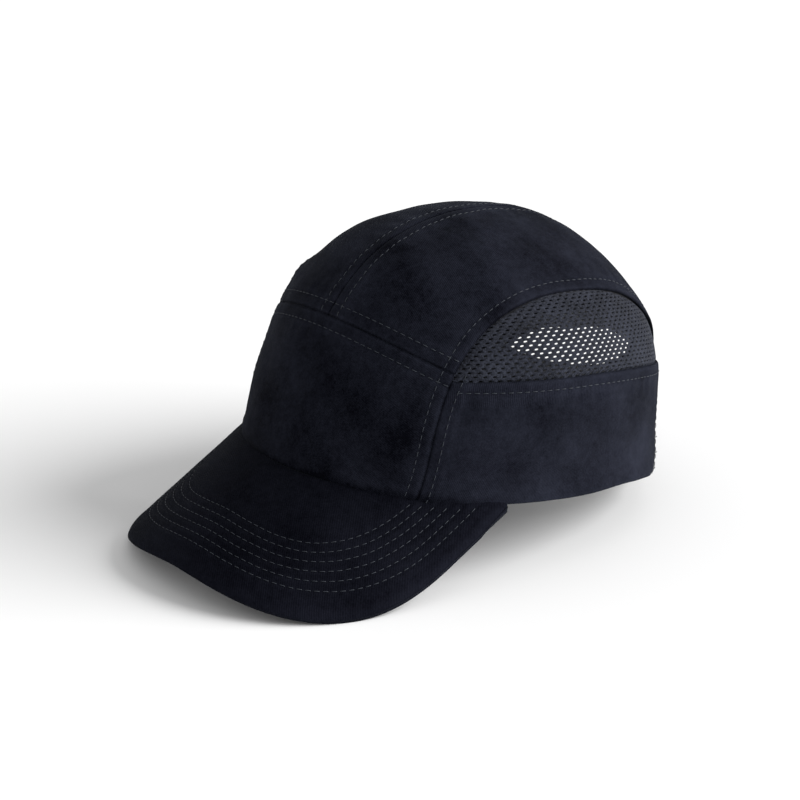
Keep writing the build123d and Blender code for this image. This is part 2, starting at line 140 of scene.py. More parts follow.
def crown_normal(p):
    """Outward unit normal of the crown at points on it."""
    step = 0.05
    gradient = np.stack(
        [
            crown_reading(p + step * axis) ** 2 - crown_reading(p - step * axis) ** 2
            for axis in np.eye(3)
        ],
        axis=-1,
    )
    near_top = np.maximum(p[..., 2] - 0.996 * CROWN_HEIGHT, 0)[..., None]
    gradient = gradient / np.maximum(np.linalg.norm(gradient, axis=-1, keepdims=True), 1e-12)
    gradient = np.where(near_top > 0, np.array([0.0, 0.0, 1.0]), gradient)
    return gradient


def rim_z(y):
    behind = np.maximum(y - REAR_RIM_DIP_FROM_Y, 0) / (BACK_REACH - REAR_RIM_DIP_FROM_Y)
    return -REAR_RIM_DIP * behind**2


def mesh_seam_z(y):
    front, back = MESH_SEAM_DROPS
    from_peak = y - MESH_SEAM_PEAK_Y
    return MESH_SEAM_TOP - np.where(from_peak < 0, front, back) * from_peak**2


def strip_half_width(y):
    return STRIP_HALF_WIDTH - STRIP_TAPER * np.maximum(y, 0) ** 2


def front_seam_z(x):
    return FRONT_SEAM_TOP - FRONT_SEAM_DROP * x**2


def arch_z(x):
    return ARCH_HEIGHT * np.sqrt(np.maximum(1 - (x / ARCH_HALF_WIDTH) ** 2, 0))


def lengths_along(line):
    """Distance from the start at each point of a polyline."""
    steps = np.linalg.norm(np.diff(line, axis=0), axis=1)
    return np.concatenate([[0], np.cumsum(steps)])


def resample(line, count):
    """The same polyline with evenly spaced points."""
    run = lengths_along(line)
    want = np.linspace(0, run[-1], count)
    return np.stack([np.interp(want, run, line[:, k]) for k in range(3)], axis=1)


def meridian(ratio):
    """From the front rim over the top to the nape, at a fixed share of the centre strip's half width."""
    level = 1 - np.linspace(1, 0, 500) ** 2
    z = level * CROWN_HEIGHT
    side, front, _ = crown_axes(z)
    x = np.full_like(z, ratio * STRIP_HALF_WIDTH)
    keep = side > np.abs(x)
    ahead = np.stack([x, -front * np.sqrt(np.maximum(1 - (x / side) ** 2, 0)), z], axis=1)[keep]
    z = np.concatenate([z[::-1], np.linspace(0, -REAR_RIM_DIP - 1, 40)[1:]])
    side, _, back = crown_axes(z)
    y = np.zeros_like(z)
    for _ in range(60):
        x = ratio * strip_half_width(y)
        y = back * np.sqrt(np.maximum(1 - (x / side) ** 2, 0)) * 0.5 + y * 0.5
    keep = side > np.abs(ratio * STRIP_HALF_WIDTH)
    behind = np.stack([x, y, z], axis=1)[keep]
    return np.concatenate([ahead, behind])


def strip_line(ratio, part):
    """The stretch of a meridian on the front panel, the crown panels or both."""
    line = meridian(ratio)
    ahead = line[:, 1] < 0
    above_front = line[:, 2] > front_seam_z(line[:, 0])
    past_arch = ~ahead & (line[:, 2] < arch_z(line[:, 0]))
    seam = int(np.argmax(above_front | ~ahead))
    end = int(np.argmax(past_arch))
    if part == "front":
        return line[: seam + 1]
    if part == "crown":
        return line[seam : end + 1]
    return line[: end + 1]


def side_grid(across, up):
    """The side panel on the wearer's left: across runs from the front seam back, up from the rim."""
    u, v = np.meshgrid(across, up, indexing="ij")
    y = -60 + 120 * u
    for _ in range(60):
        low = rim_z(y)
        z = low + v * (mesh_seam_z(y) - low)
        side, front, back = crown_axes(z)
        x_strip = np.full_like(z, 50.0)
        for _ in range(12):
            y_strip = back * np.sqrt(np.maximum(1 - (x_strip / side) ** 2, 0))
            x_strip = 0.5 * x_strip + 0.5 * strip_half_width(y_strip)
        x_arch = ARCH_HALF_WIDTH * np.sqrt(np.maximum(1 - (np.maximum(z, 0) / ARCH_HEIGHT) ** 2, 0))
        start = np.arcsin(STRIP_HALF_WIDTH / side)
        end = math.pi - np.arcsin(np.maximum(x_strip, x_arch) / side)
        turn = start + u * (end - start)
        reach = np.where(np.cos(turn) > 0, front, back)
        y = 0.5 * y - 0.5 * reach * np.cos(turn)
    return np.stack([side * np.sin(turn), -reach * np.cos(turn), z], axis=-1)


def mirrored(points):
    return points * np.array([-1.0, 1.0, 1.0])


# ---- seams, as lines on the crown --------------------------------------------------------------------
def seam_lines():
    """Every seam of the cover as an evenly spaced polyline on the crown's outer face."""
    y = np.linspace(-64, 80, 300)
    z = mesh_seam_z(y)
    side, front, back = crown_axes(z)
    x = side * np.sqrt(1 - (y / np.where(y < 0, front, back)) ** 2)
    mesh = np.stack([x, y, z], axis=1)
    mesh = mesh[mesh[:, 0] > strip_half_width(mesh[:, 1]) - 0.5]
    x = np.linspace(-STRIP_HALF_WIDTH, STRIP_HALF_WIDTH, 240)
    z = front_seam_z(x)
    side, front, _ = crown_axes(z)
    top = np.stack([x, -front * np.sqrt(1 - (x / side) ** 2), z], axis=1)
    edge = strip_line(1.0, "whole")
    lines = {
        "front": resample(top, 260),
        "centre": resample(strip_line(0.0, "crown"), 360),
        "edge_left": resample(edge, 480),
        "edge_right": mirrored(resample(edge, 480)),
        "mesh_left": resample(mesh, 300),
        "mesh_right": mirrored(resample(mesh, 300)),
    }
    x = np.linspace(-ARCH_HALF_WIDTH, ARCH_HALF_WIDTH, 400)
    z = arch_z(x)
    side, _, back = crown_axes(z)
    arch = np.stack([x, back * np.sqrt(1 - (x / side) ** 2), z], axis=1)
    foot_z = np.linspace(rim_z(arch[0, 1]), 0, 20)[:-1]
    same = np.ones_like(foot_z)
    foot = np.stack([-ARCH_HALF_WIDTH * same, arch[0, 1] * same, foot_z], axis=1)
    arch = np.concatenate([foot, arch, mirrored(foot)[::-1]])
    lines["arch"] = resample(arch, 300)
    turn = np.linspace(-1, 1, 700) * (math.pi - math.asin(ARCH_HALF_WIDTH / HALF_WIDTH))
    y = -np.where(np.cos(turn) > 0, FRONT_REACH, BACK_REACH) * np.cos(turn)
    lines["rim"] = resample(np.stack([HALF_WIDTH * np.sin(turn), y, rim_z(y)], axis=1), 700)
    return lines


SEAMS = seam_lines()


def distance_to(points, line):
    """Distance from each point to a polyline's points, and the run along it of the nearest one."""
    flat = points.reshape(-1, 3)
    nearest = np.empty(len(flat))
    where = np.empty(len(flat), int)
    for start in range(0, len(flat), 4000):
        part = flat[start : start + 4000]
        gap = np.linalg.norm(part[:, None, :] - line[None, :, :], axis=2)
        where[start : start + 4000] = gap.argmin(axis=1)
        nearest[start : start + 4000] = gap.min(axis=1)
    run = lengths_along(line)[where]
    return nearest.reshape(points.shape[:-1]), run.reshape(points.shape[:-1])


def smooth_noise(points, size, seed):
    """Gentle noise between about -1 and 1, with features of this size, the same on every run."""
    rng = np.random.default_rng(seed)
    total = np.zeros(points.shape[:-1])
    for _ in range(14):
        direction = rng.normal(size=3)
        direction /= np.linalg.norm(direction)
        wave = 2 * math.pi / (size * rng.uniform(0.7, 1.6))
        total += np.sin((points @ direction) * wave + rng.uniform(0, 2 * math.pi))
    return total / math.sqrt(14)


# ---- the cloth's relief: seams, stitched rows and soft wrinkles ---------------------------------------
SEAM_ALLOWANCE = 7.5
ROW_OFFSETS = {
    "front": 6.0,
    "centre": 5.5,
    "edge_left": 5.5,
    "edge_right": 5.5,
    "mesh_left": 5.0,
    "mesh_right": 5.0,
}
STITCH_PITCH = 3.8
STITCH_LENGTH = 2.7
CLOTH_THICKNESS = 0.9
LEDGE_LEVEL = 74.0


def brim_height(x, y, depth=0.0):
    """Height of the brim's arched sheet at this depth below its top face."""
    radius = BRIM_ARCH_RADIUS - depth
    arch = np.sqrt(np.maximum(radius**2 - x**2, 1.0))
    return BRIM_TOP_AT_CROWN + BRIM_SLOPE * (y + FRONT_REACH) - BRIM_ARCH_RADIUS + arch


def side_on(points, name):
    """Positive on the side of a seam that carries its stitched row, negative on the other."""
    if name.startswith("mesh"):
        return mesh_seam_z(points[..., 1]) - points[..., 2]
    return np.ones(points.shape[:-1])


def swelling(points):
    """Broad fullness of the cover over the shell: fuller shoulders, a soft ledge and a full nape."""
    x, y, z = points[..., 0], points[..., 1], points[..., 2]
    ahead = 1 / (1 + np.exp((y + 18) / 8))
    beside = 1 - np.exp(-((x / 34) ** 2))
    fuller = 1.4 * np.exp(-(((z - LEDGE_LEVEL) / 6.5) ** 2)) + 1.6 * np.exp(-(((z - 98) / 7) ** 2))
    corner = 1.1 * np.exp(-(((z - 22) / 15) ** 2)) * ahead
    nape = 1.5 * np.exp(-(((z - 62) / 15) ** 2)) / (1 + np.exp(-(y - 55) / 8))
    return (fuller * ahead + corner) * beside + nape


def cloth_relief(points):
    """How far the cloth stands above the plain crown, in millimetres, and its wear with painted light:
    painted shade in the seam grooves and the crease at the brim, and lighter sides.
    """
    relief = swelling(points) + 0.36 * smooth_noise(points, 60, 11) + 0.15 * smooth_noise(points, 20, 12)
    relief += 0.05 * smooth_noise(points, 8, 14)
    wear_and_painted_light = 0.5 + 0.5 * smooth_noise(points, 30, 13)
    for name, offset in ROW_OFFSETS.items():
        gap, run = distance_to(points, SEAMS[name])
        sewn = side_on(points, name) > 0
        relief -= 0.55 * np.exp(-((gap / 0.75) ** 2))
        raised = 0.26 / (1 + np.exp((gap - SEAM_ALLOWANCE) / 0.9))
        pull = 1 + 0.35 * np.sin(2 * math.pi * run / STITCH_PITCH)
        row = 0.30 * np.exp(-(((gap - offset) / 0.8) ** 2)) * pull
        pucker = 0.17 * np.exp(-(((gap - 9) / 5) ** 2)) * np.sin(run / 2.1 + 2.5 * np.sin(run / 9))
        relief += np.where(sewn, raised - row + pucker, 0)
        wear_and_painted_light += np.where(sewn, 0.35 * np.exp(-(((gap - SEAM_ALLOWANCE) / 1.6) ** 2)), 0)
        # Lighter wear on each seam's folded edge, and painted shade: darker colour right in the seam's
        # groove.
        wear_and_painted_light += 0.5 * np.exp(-(((gap - 1.2) / 0.8) ** 2)) - 1.2 * np.exp(-((gap / 0.6) ** 2))
    gap = points[..., 2] - brim_height(points[..., 0], points[..., 1])
    by_brim = 1 / (1 + np.exp((points[..., 1] + 50) / 2))
    relief -= 1.1 * np.exp(-((gap / 2.2) ** 2)) * by_brim
    # Painted shade: the cloth darker in the crease where the crown meets the brim.
    wear_and_painted_light -= 1.5 * np.exp(-((gap / 2.2) ** 2)) * by_brim
    # Painted light: the cloth lighter towards both sides of the crown.
    wear_and_painted_light += 0.7 / (1 + np.exp((64 - np.abs(points[..., 0])) / 5))
    for name in ("arch", "rim"):
        gap, run = distance_to(points, SEAMS[name])
        relief += 0.25 * np.exp(-(((gap - 4) / 3) ** 2)) - 0.5 * np.exp(-((gap / 1.0) ** 2))
        wear_and_painted_light += 0.5 * np.exp(-((gap / 1.5) ** 2))
    return relief, wear_and_painted_light


def raise_cloth(points):
    """The cloth's outer face over these crown points, with its wear and painted light."""
    relief, wear_and_painted_light = cloth_relief(points)
    return points + crown_normal(points) * relief[..., None], wear_and_painted_light


# ---- making meshes -----------------------------------------------------------------------------------
def new_piece(name, points, faces):
    """A smooth mesh object in the row frame from points in the rim frame, in millimetres."""
    mesh = bpy.data.meshes.new(name)
    mesh.from_pydata(place(points).tolist(), [], [tuple(face) for face in faces])
    mesh.update()
    mesh.shade_smooth()
    piece = bpy.data.objects.new(name, mesh)
    bpy.context.collection.objects.link(piece)
    return piece


def store(piece, name, values):
    """Keep a number for each point of the mesh under this name."""
    layer = piece.data.attributes.new(name, "FLOAT", "POINT")
    layer.data.foreach_set("value", np.asarray(values, np.float32).ravel())


def store_vectors(piece, name, values):
    layer = piece.data.attributes.new(name, "FLOAT_VECTOR", "POINT")
    layer.data.foreach_set("vector", (np.asarray(values) * MM).astype(np.float32).ravel())


def grid_faces(rows, columns, closed=False):
    """Quads between the points of a grid that is stored row by row."""
    faces = []
    for i in range(rows - 1):
        for j in range(columns if closed else columns - 1):
            k = (j + 1) % columns
            faces.append((i * columns + j, i * columns + k, (i + 1) * columns + k, (i + 1) * columns + j))
    return faces


def slab(outer, inner):
    """Points and faces of a closed sheet between two grids of the same shape."""
    rows, columns = outer.shape[:2]
    points = np.concatenate([outer.reshape(-1, 3), inner.reshape(-1, 3)])
    top = grid_faces(rows, columns)
    below = rows * columns
    faces = top + [tuple(below + k for k in reversed(face)) for face in top]
    edge = list(range(columns))
    edge += [i * columns + columns - 1 for i in range(1, rows)]
    edge += [(rows - 1) * columns + j for j in range(columns - 2, -1, -1)]
    edge += [i * columns for i in range(rows - 2, 0, -1)]
    for a, b in zip(edge, edge[1:] + edge[:1]):
        faces.append((b, a, a + below, b + below))
    return points, faces


def grain_of(grid):
    """Flat cloth coordinates of a grid: length across it and length along it, in millimetres."""
    along = np.linalg.norm(np.diff(grid, axis=0), axis=2)
    along = np.concatenate([np.zeros((1, grid.shape[1])), np.cumsum(along, axis=0)])
    across = np.linalg.norm(np.diff(grid, axis=1), axis=2)
    across = np.concatenate([np.zeros((grid.shape[0], 1)), np.cumsum(across, axis=1)], axis=1)
    return np.stack([across, along, np.zeros_like(along)], axis=-1)


def finish_piece(piece, node, material, body="cover"):
    """Give the piece its material and its body, and hide the CAD node that it stands for."""
    piece.data.materials.append(material)
    if node:
        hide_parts(node)
    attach(piece, body)
    return piece


def cloth_panel(node, base, turned=False):
    """One sewn panel of the cover from its grid of crown points."""
    if turned:
        base = base[::-1]
    outer, wear_and_painted_light = raise_cloth(base)
    inner = outer - crown_normal(base) * CLOTH_THICKNESS
    points, faces = slab(outer, inner)
    piece = new_piece(node + "_cloth", points, faces)
    grain = grain_of(base).reshape(-1, 3)
    store_vectors(piece, "grain", np.concatenate([grain, grain]))
    store(piece, "wear_and_painted_light", np.concatenate([wear_and_painted_light.ravel(), wear_and_painted_light.ravel()]))
    return finish_piece(piece, node, TWILL)


def rounded_ends(share, length, radius):
    """How much of its half width a band keeps near its two rounded ends."""
    from_end = np.minimum(share, 1 - share) * length
    cut = np.clip(1 - from_end / radius, 0, 1)
    return np.sqrt(np.maximum(1 - cut**2, 0.0004))


def section_of(half_width, outer, inner, rib=0.0, rib_pitch=1.6, crown=0.0, columns=24):
    """A closed section across a band: points (across, depth), soft at the edges and ribbed or crowned."""
    across = half_width * np.sin(np.linspace(-math.pi / 2, math.pi / 2, columns))
    edge = np.sqrt(np.maximum(1 - (across / half_width) ** 6, 0))
    middle = (outer + inner) / 2
    half = (inner - outer) / 2 * edge
    ribs = rib * np.cos(2 * math.pi * across / rib_pitch) * edge
    crowned = crown * (1 - (across / half_width) ** 2) * edge
    top = np.stack([across, middle - half - ribs], axis=1)
    under = np.stack([across, middle + half + ribs + crowned], axis=1)[::-1]
    return np.concatenate([top, under[1:-1]])


def band(name, base, rows, section, length, end_radius=1.0, end_depth=0.5):
    """A closed band: base(a, w) gives crown points at a share a along and w millimetres across."""
    share = np.linspace(0, 1, rows)
    keep = rounded_ends(share, length, end_radius)
    thin = rounded_ends(share, length, end_depth)
    across, depth = section[:, 0], section[:, 1]
    middle = (depth.max() + depth.min()) / 2
    a = share[:, None] + 0 * across[None, :]
    w = across[None, :] * keep[:, None]
    d = middle + (depth[None, :] - middle) * thin[:, None]
    points = deepen(base(a, w), d)
    columns = len(section)
    faces = grid_faces(rows, columns, closed=True)
    faces += [tuple(range(columns - 1, -1, -1)), tuple((rows - 1) * columns + j for j in range(columns))]
    piece = new_piece(name, points.reshape(-1, 3), faces)
    grain = np.stack([w, a * length, 0 * w], axis=-1)
    store_vectors(piece, "grain", grain.reshape(-1, 3))
    return piece


def deepen(points, inset):
    """Move points on the crown's face to a depth below it, which may differ from point to point."""
    centre = np.zeros_like(points)
    centre[..., 2] = np.minimum(points[..., 2], EYE_LEVEL)
    ray = points - centre
    low = np.full(points.shape[:-1], 0.3)
    high = np.full(points.shape[:-1], 1.6)
    for _ in range(36):
        middle = (low + high) / 2
        outside = crown_reading(centre + ray * middle[..., None], inset) > 1
        high = np.where(outside, middle, high)
        low = np.where(outside, low, middle)
    return centre + ray * ((low + high) / 2)[..., None]


# ---- stitches ------------------------------------------------------------------------------------------
def stitches(name, lines, body="cover", radius=0.18, above=0.08, pitch=STITCH_PITCH):
    """Lock stitches along lines; each line is (points, normals), and each stitch a small bowed capsule."""
    turns = np.linspace(0, 2 * math.pi, 6, endpoint=False)
    shares = np.array([-0.5, -0.42, -0.2, 0.2, 0.42, 0.5])
    widths = np.array([0.15, 0.8, 1.0, 1.0, 0.8, 0.15])
    lifts = np.array([-0.30, 0.02, 0.14, 0.14, 0.02, -0.30])
    capsule = grid_faces(len(shares), len(turns), closed=True)
    points = []
    faces = []
    for line, normals in lines:
        run = lengths_along(line)
        count = int(run[-1] / pitch)
        for number in range(count):
            middle = (number + 0.5) * run[-1] / count
            at = middle + shares * STITCH_LENGTH * pitch / STITCH_PITCH
            spine = np.stack([np.interp(at, run, line[:, k]) for k in range(3)], axis=1)
            up = np.stack([np.interp(at, run, normals[:, k]) for k in range(3)], axis=1)
            along = spine[-1] - spine[0]
            along /= np.linalg.norm(along)
            beside = np.cross(along, up)
            first = len(points)
            for centre, lift, width, rise in zip(spine, lifts, widths, up):
                for turn in turns:
                    out = math.cos(turn) * beside[0] + math.sin(turn) * rise
                    points.append(centre + rise * (lift + above) + out * radius * width)
            faces += [tuple(first + k for k in face) for face in capsule]
            faces.append(tuple(first + k for k in range(len(turns) - 1, -1, -1)))
            faces.append(tuple(first + (len(shares) - 1) * len(turns) + k for k in range(len(turns))))
    piece = new_piece(name, np.array(points), faces)
    return finish_piece(piece, None, THREAD, body)


def row_beside(seam, offset, start=0.0, end=1.0):
    """A stitched row on the cloth's face, parallel to a seam; offset to the right of its run."""
    line = SEAMS[seam]
    tangent = np.gradient(line, axis=0)
    tangent /= np.linalg.norm(tangent, axis=1, keepdims=True)
    normal = crown_normal(line)
    row = on_crown(line + np.cross(tangent, normal) * offset)
    count = len(row)
    row = row[int(start * count) : max(int(end * count), 2)]
    face, _ = raise_cloth(row)
    return face, crown_normal(row)


# ---- materials -----------------------------------------------------------------------------------------
def blank_material(name, base, roughness, specular=0.1):
    """A material with its Principled shader, and the pieces that every finish here starts from."""
    material = bpy.data.materials.new(name)
    material.use_nodes = True
    tree = material.node_tree
    shader = tree.nodes["Principled BSDF"]
    shader.inputs["Base Color"].default_value = (*base, 1)
    shader.inputs["Roughness"].default_value = roughness
    shader.inputs["Specular IOR Level"].default_value = specular
    return material, tree, shader


def node(tree, kind, **settings):
    made = tree.nodes.new(kind)
    for key, value in settings.items():
        setattr(made, key, value)
    return made


def noise(tree, vector, scale, detail=3.0, roughness=0.6):
    made = node(tree, "ShaderNodeTexNoise")
    made.inputs["Scale"].default_value = scale
    made.inputs["Detail"].default_value = detail
    made.inputs["Roughness"].default_value = roughness
    tree.links.new(vector, made.inputs["Vector"])
    return made.outputs["Fac"]


def maths(tree, operation, a, b=0.0):
    made = node(tree, "ShaderNodeMath", operation=operation)
    for socket, value in zip(made.inputs, (a, b)):
        if isinstance(value, (int, float)):
            socket.default_value = value
        else:
            tree.links.new(value, socket)
    return made.outputs[0]


def ramp(tree, value, low, high, dark, light):
    """A colour that runs from dark at low to light at high."""
    made = node(tree, "ShaderNodeValToRGB")
    made.color_ramp.elements[0].position = low
    made.color_ramp.elements[0].color = (*dark, 1)
    made.color_ramp.elements[1].position = high
    made.color_ramp.elements[1].color = (*light, 1)
    tree.links.new(value, made.inputs["Fac"])
    return made.outputs["Color"]


def wave(tree, vector, direction, pitch_mm):
    """A ripple across this direction of a vector that is in metres, between -1 and 1."""
    dot = node(tree, "ShaderNodeVectorMath", operation="DOT_PRODUCT")
    dot.inputs[1].default_value = tuple(2 * math.pi / (pitch_mm * MM) * part for part in direction)
    tree.links.new(vector, dot.inputs[0])
    return maths(tree, "SINE", dot.outputs["Value"])


def bump(tree, shader, height, distance_mm, strength=1.0):
    made = node(tree, "ShaderNodeBump")
    made.inputs["Distance"].default_value = distance_mm * MM
    made.inputs["Strength"].default_value = strength
    tree.links.new(height, made.inputs["Height"])
    tree.links.new(made.outputs["Normal"], shader.inputs["Normal"])


def named(tree, name, output="Vector"):
    made = node(tree, "ShaderNodeAttribute", attribute_name=name)
    return made.outputs[output]


def objects_place(tree):
    return node(tree, "ShaderNodeTexCoord").outputs["Object"]


def twill_material(name, dark, light, wale_mm=0.75):
    """Washed cotton twill: diagonal wales, crossing yarns, faded high edges, a soft mottle and the painted
    shade and light that come with the wear numbers.
    """
    material, tree, shader = blank_material(name, dark, 0.85, 0.02)
    shader.inputs["Sheen Weight"].default_value = 0.03
    shader.inputs["Sheen Roughness"].default_value = 0.35
    shader.inputs["Sheen Tint"].default_value = (0.70, 0.80, 1.0, 1)
    grain = named(tree, "grain")
    wear_and_painted_light = named(tree, "wear_and_painted_light", "Fac")
    place_on = objects_place(tree)
    slant = math.radians(62)
    wales = wave(tree, grain, (math.cos(slant), math.sin(slant), 0), wale_mm)
    yarns = wave(tree, grain, (1, 0, 0), wale_mm * 0.55)
    cloud = noise(tree, place_on, 55, 5)
    patch_noise = noise(tree, place_on, 260, 4)
    fuzz = noise(tree, place_on, 1300, 3)
    shade = maths(tree, "ADD", maths(tree, "MULTIPLY", cloud, 0.5), maths(tree, "MULTIPLY", wear_and_painted_light, 0.25))
    shade = maths(tree, "ADD", shade, maths(tree, "MULTIPLY", wales, 0.05))
    shade = maths(tree, "ADD", shade, maths(tree, "MULTIPLY", fuzz, 0.9))
    shade = maths(tree, "ADD", shade, maths(tree, "MULTIPLY", patch_noise, 0.7))
    colour = ramp(tree, maths(tree, "MULTIPLY", shade, 0.5), 0.42, 0.92, dark, light)
    tree.links.new(colour, shader.inputs["Base Color"])
    rough = maths(tree, "MULTIPLY_ADD", cloud, 0.2)
    rough.node.inputs[2].default_value = 0.75
    tree.links.new(rough, shader.inputs["Roughness"])
    height = maths(tree, "ADD", maths(tree, "MULTIPLY", wales, 0.5), maths(tree, "MULTIPLY", yarns, 0.2))
    height = maths(tree, "ADD", height, maths(tree, "MULTIPLY", fuzz, 0.9))
    bump(tree, shader, height, 0.09)
    return material


def knit_material(name, dark, light, pitch_mm=0.55):
    """A knitted or felted face: fine crossing yarns with a fuzzy surface."""
    material, tree, shader = blank_material(name, dark, 0.75, 0.08)
    shader.inputs["Sheen Weight"].default_value = 0.04
    shader.inputs["Sheen Roughness"].default_value = 0.4
    place_on = objects_place(tree)
    first = wave(tree, place_on, (0.7, 0.7, 0.1), pitch_mm)
    second = wave(tree, place_on, (-0.6, 0.5, 0.6), pitch_mm)
    fuzz = noise(tree, place_on, 1100, 3)
    cloud = noise(tree, place_on, 60, 3)
    yarn = maths(tree, "MULTIPLY", first, second)
    shade = maths(tree, "ADD", maths(tree, "MULTIPLY", yarn, 0.2), fuzz)
    shade = maths(tree, "ADD", maths(tree, "MULTIPLY", cloud, 0.4), shade)
    tree.links.new(ramp(tree, shade, 0.50, 0.96, dark, light), shader.inputs["Base Color"])
    bump(tree, shader, maths(tree, "ADD", yarn, fuzz), 0.14)
    return material


def webbing_material(name, dark, light, pitch_mm=1.5):
    """Woven webbing: ribs across, a herringbone of yarns and a faint shine."""
    material, tree, shader = blank_material(name, dark, 0.65, 0.06)
    shader.inputs["Sheen Weight"].default_value = 0.03
    grain = named(tree, "grain")
    place_on = objects_place(tree)
    left = wave(tree, grain, (0.8, 0.6, 0), pitch_mm * 0.5)
    cross = wave(tree, grain, (0, 1, 0), pitch_mm * 0.6)
    ribs = wave(tree, grain, (1, 0, 0), pitch_mm)
    fuzz = noise(tree, place_on, 1400, 2)
    height = maths(tree, "ADD", maths(tree, "MULTIPLY", left, 0.4), maths(tree, "MULTIPLY", cross, 0.4))
    height = maths(tree, "ADD", height, maths(tree, "MULTIPLY", ribs, 0.4))
    shade = maths(tree, "ADD", maths(tree, "MULTIPLY", height, 0.2), fuzz)
    tree.links.new(ramp(tree, shade, 0.3, 0.9, dark, light), shader.inputs["Base Color"])
    bump(tree, shader, maths(tree, "ADD", height, fuzz), 0.12)
    return material


def foam_material(name, dark, light):
    """Closed-cell foam: fine pores and a slightly uneven, matt skin."""
    material, tree, shader = blank_material(name, dark, 0.85, 0.2)
    place_on = objects_place(tree)
    cells = node(tree, "ShaderNodeTexVoronoi", feature="SMOOTH_F1")
    cells.inputs["Scale"].default_value = 900
    tree.links.new(place_on, cells.inputs["Vector"])
    pores = cells.outputs["Distance"]
    cloud = noise(tree, place_on, 90, 4)
    shade = maths(tree, "ADD", maths(tree, "MULTIPLY", pores, 0.6), maths(tree, "MULTIPLY", cloud, 0.6))
    tree.links.new(ramp(tree, shade, 0.25, 0.85, dark, light), shader.inputs["Base Color"])
    bump(tree, shader, maths(tree, "ADD", pores, cloud), 0.25)
    return material


def plastic_material(name, dark, light, roughness, grain_mm, scratches=0.15):
    """Moulded plastic with a fine spark-eroded grain, faint flow marks and worn, lighter patches."""
    material, tree, shader = blank_material(name, dark, roughness, 0.45)
    place_on = objects_place(tree)
    grain = noise(tree, place_on, 1 / (grain_mm * MM), 2)
    flow = noise(tree, place_on, 35, 5, 0.65)
    tree.links.new(ramp(tree, flow, 0.3, 0.75, dark, light), shader.inputs["Base Color"])
    rough = maths(tree, "MULTIPLY_ADD", flow, scratches * 2)
    rough.node.inputs[2].default_value = roughness - scratches
    tree.links.new(rough, shader.inputs["Roughness"])
    bump(tree, shader, grain, 0.05)
    return material


TWILL = twill_material("washed_navy_twill", (0.0016, 0.0017, 0.0036), (0.0190, 0.0210, 0.0320))
# A darker copy of the same twill for the brim: painted shade standing in for the brim's lower light.
BRIM_TWILL_PAINTED_SHADE = twill_material("brim_twill_painted_shade", (0.0012, 0.0013, 0.0030), (0.0098, 0.0106, 0.0170))
MESH_KNIT = knit_material("mesh_knit", (0.0018, 0.0021, 0.0040), (0.042, 0.047, 0.068))
TAPE_CLOTH = knit_material("seam_tape_cloth", (0.004, 0.004, 0.006), (0.013, 0.013, 0.016))
BACKING_CLOTH = knit_material("backing_cloth", (0.16, 0.16, 0.16), (0.34, 0.34, 0.35), 1.1)
BAND_CLOTH = knit_material("sweatband_cloth", (0.005, 0.005, 0.007), (0.018, 0.018, 0.022), 0.8)
WEBBING = webbing_material("strap_webbing", (0.0022, 0.0024, 0.0038), (0.0120, 0.0130, 0.0185))
LOOP_PILE = knit_material("loop_pile", (0.004, 0.004, 0.005), (0.020, 0.020, 0.024), 0.4)
HOOK_PILE = knit_material("hook_pile", (0.003, 0.003, 0.004), (0.012, 0.012, 0.013), 1.2)
FOAM = foam_material("pad_foam", (0.010, 0.010, 0.011), (0.034, 0.034, 0.037))
SHELL_PLASTIC = plastic_material("shell_plastic", (0.008, 0.008, 0.009), (0.020, 0.020, 0.022), 0.42, 0.45)
RING_PLASTIC = plastic_material("ring_plastic", (0.007, 0.007, 0.008), (0.018, 0.018, 0.019), 0.30, 0.30)
BOARD_PLASTIC = plastic_material("board_plastic", (0.016, 0.016, 0.016), (0.032, 0.032, 0.032), 0.5, 0.5)
THREAD, thread_tree, thread_shader = blank_material("sewing_thread", (0.040, 0.046, 0.060), 0.55, 0.3)
thread_twist = wave(thread_tree, objects_place(thread_tree), (0.6, 0.6, 0.5), 0.35)
thread_tone = maths(thread_tree, "ADD", maths(thread_tree, "MULTIPLY", thread_twist, 0.2), 0.5)
thread_colour = ramp(thread_tree, thread_tone, 0.2, 0.8, (0.014, 0.017, 0.024), (0.036, 0.042, 0.054))
thread_tree.links.new(thread_colour, thread_shader.inputs["Base Color"])


# ---- sewn panels of the cover ---------------------------------------------------------------------------
def strip_grid(part, ratios, rows):
    return np.stack([resample(strip_line(ratio, part), rows) for ratio in ratios], axis=1)


front_base = strip_grid("front", np.linspace(-1, 1, 150), 96)
cloth_panel("front_panel", front_base)
crown_base = strip_grid("crown", np.linspace(0, 1, 78), 230)
cloth_panel("crown_panel_left", crown_base)
cloth_panel("crown_panel_right", mirrored(crown_base)[:, ::-1])
side_base = side_grid(np.linspace(0, 1, 210), np.linspace(0, 1, 72))
cloth_panel("side_panel_left", side_base, turned=True)
cloth_panel("side_panel_right", mirrored(side_base))


# ---- mesh panels, knitted with real holes ----------------------------------------------------------------
HOLE_PITCH = 4.4
ROW_PITCH = 1.92
HOLE_HALF = (0.92, 0.29)
HOLE_TILT = 0.16
MESH_TUCK = 3.0
MESH_THICKNESS = 0.55


def mesh_map():
    """Tables that turn a place on the flat mesh cloth into a point on the crown.

    Across runs along the mesh's lower seam, up runs over the crown in planes that cut it crosswise."""
    y = np.linspace(-66, 84, 301)
    table = np.zeros((len(y), 400, 3))
    heights = np.zeros(len(y))
    for i, here in enumerate(y):
        z = np.linspace(mesh_seam_z(here) - MESH_TUCK - 1, CROWN_HEIGHT * 0.93, 400)
        side, front, back = crown_axes(z)
        x = side * np.sqrt(np.maximum(1 - (here / np.where(here < 0, front, back)) ** 2, 0))
        table[i] = np.stack([x, np.full_like(z, here), z], axis=1)
        inside = x > strip_half_width(here) - MESH_TUCK
        run = lengths_along(table[i])
        heights[i] = run[inside].max() if inside.any() else 0
    return y, table, heights


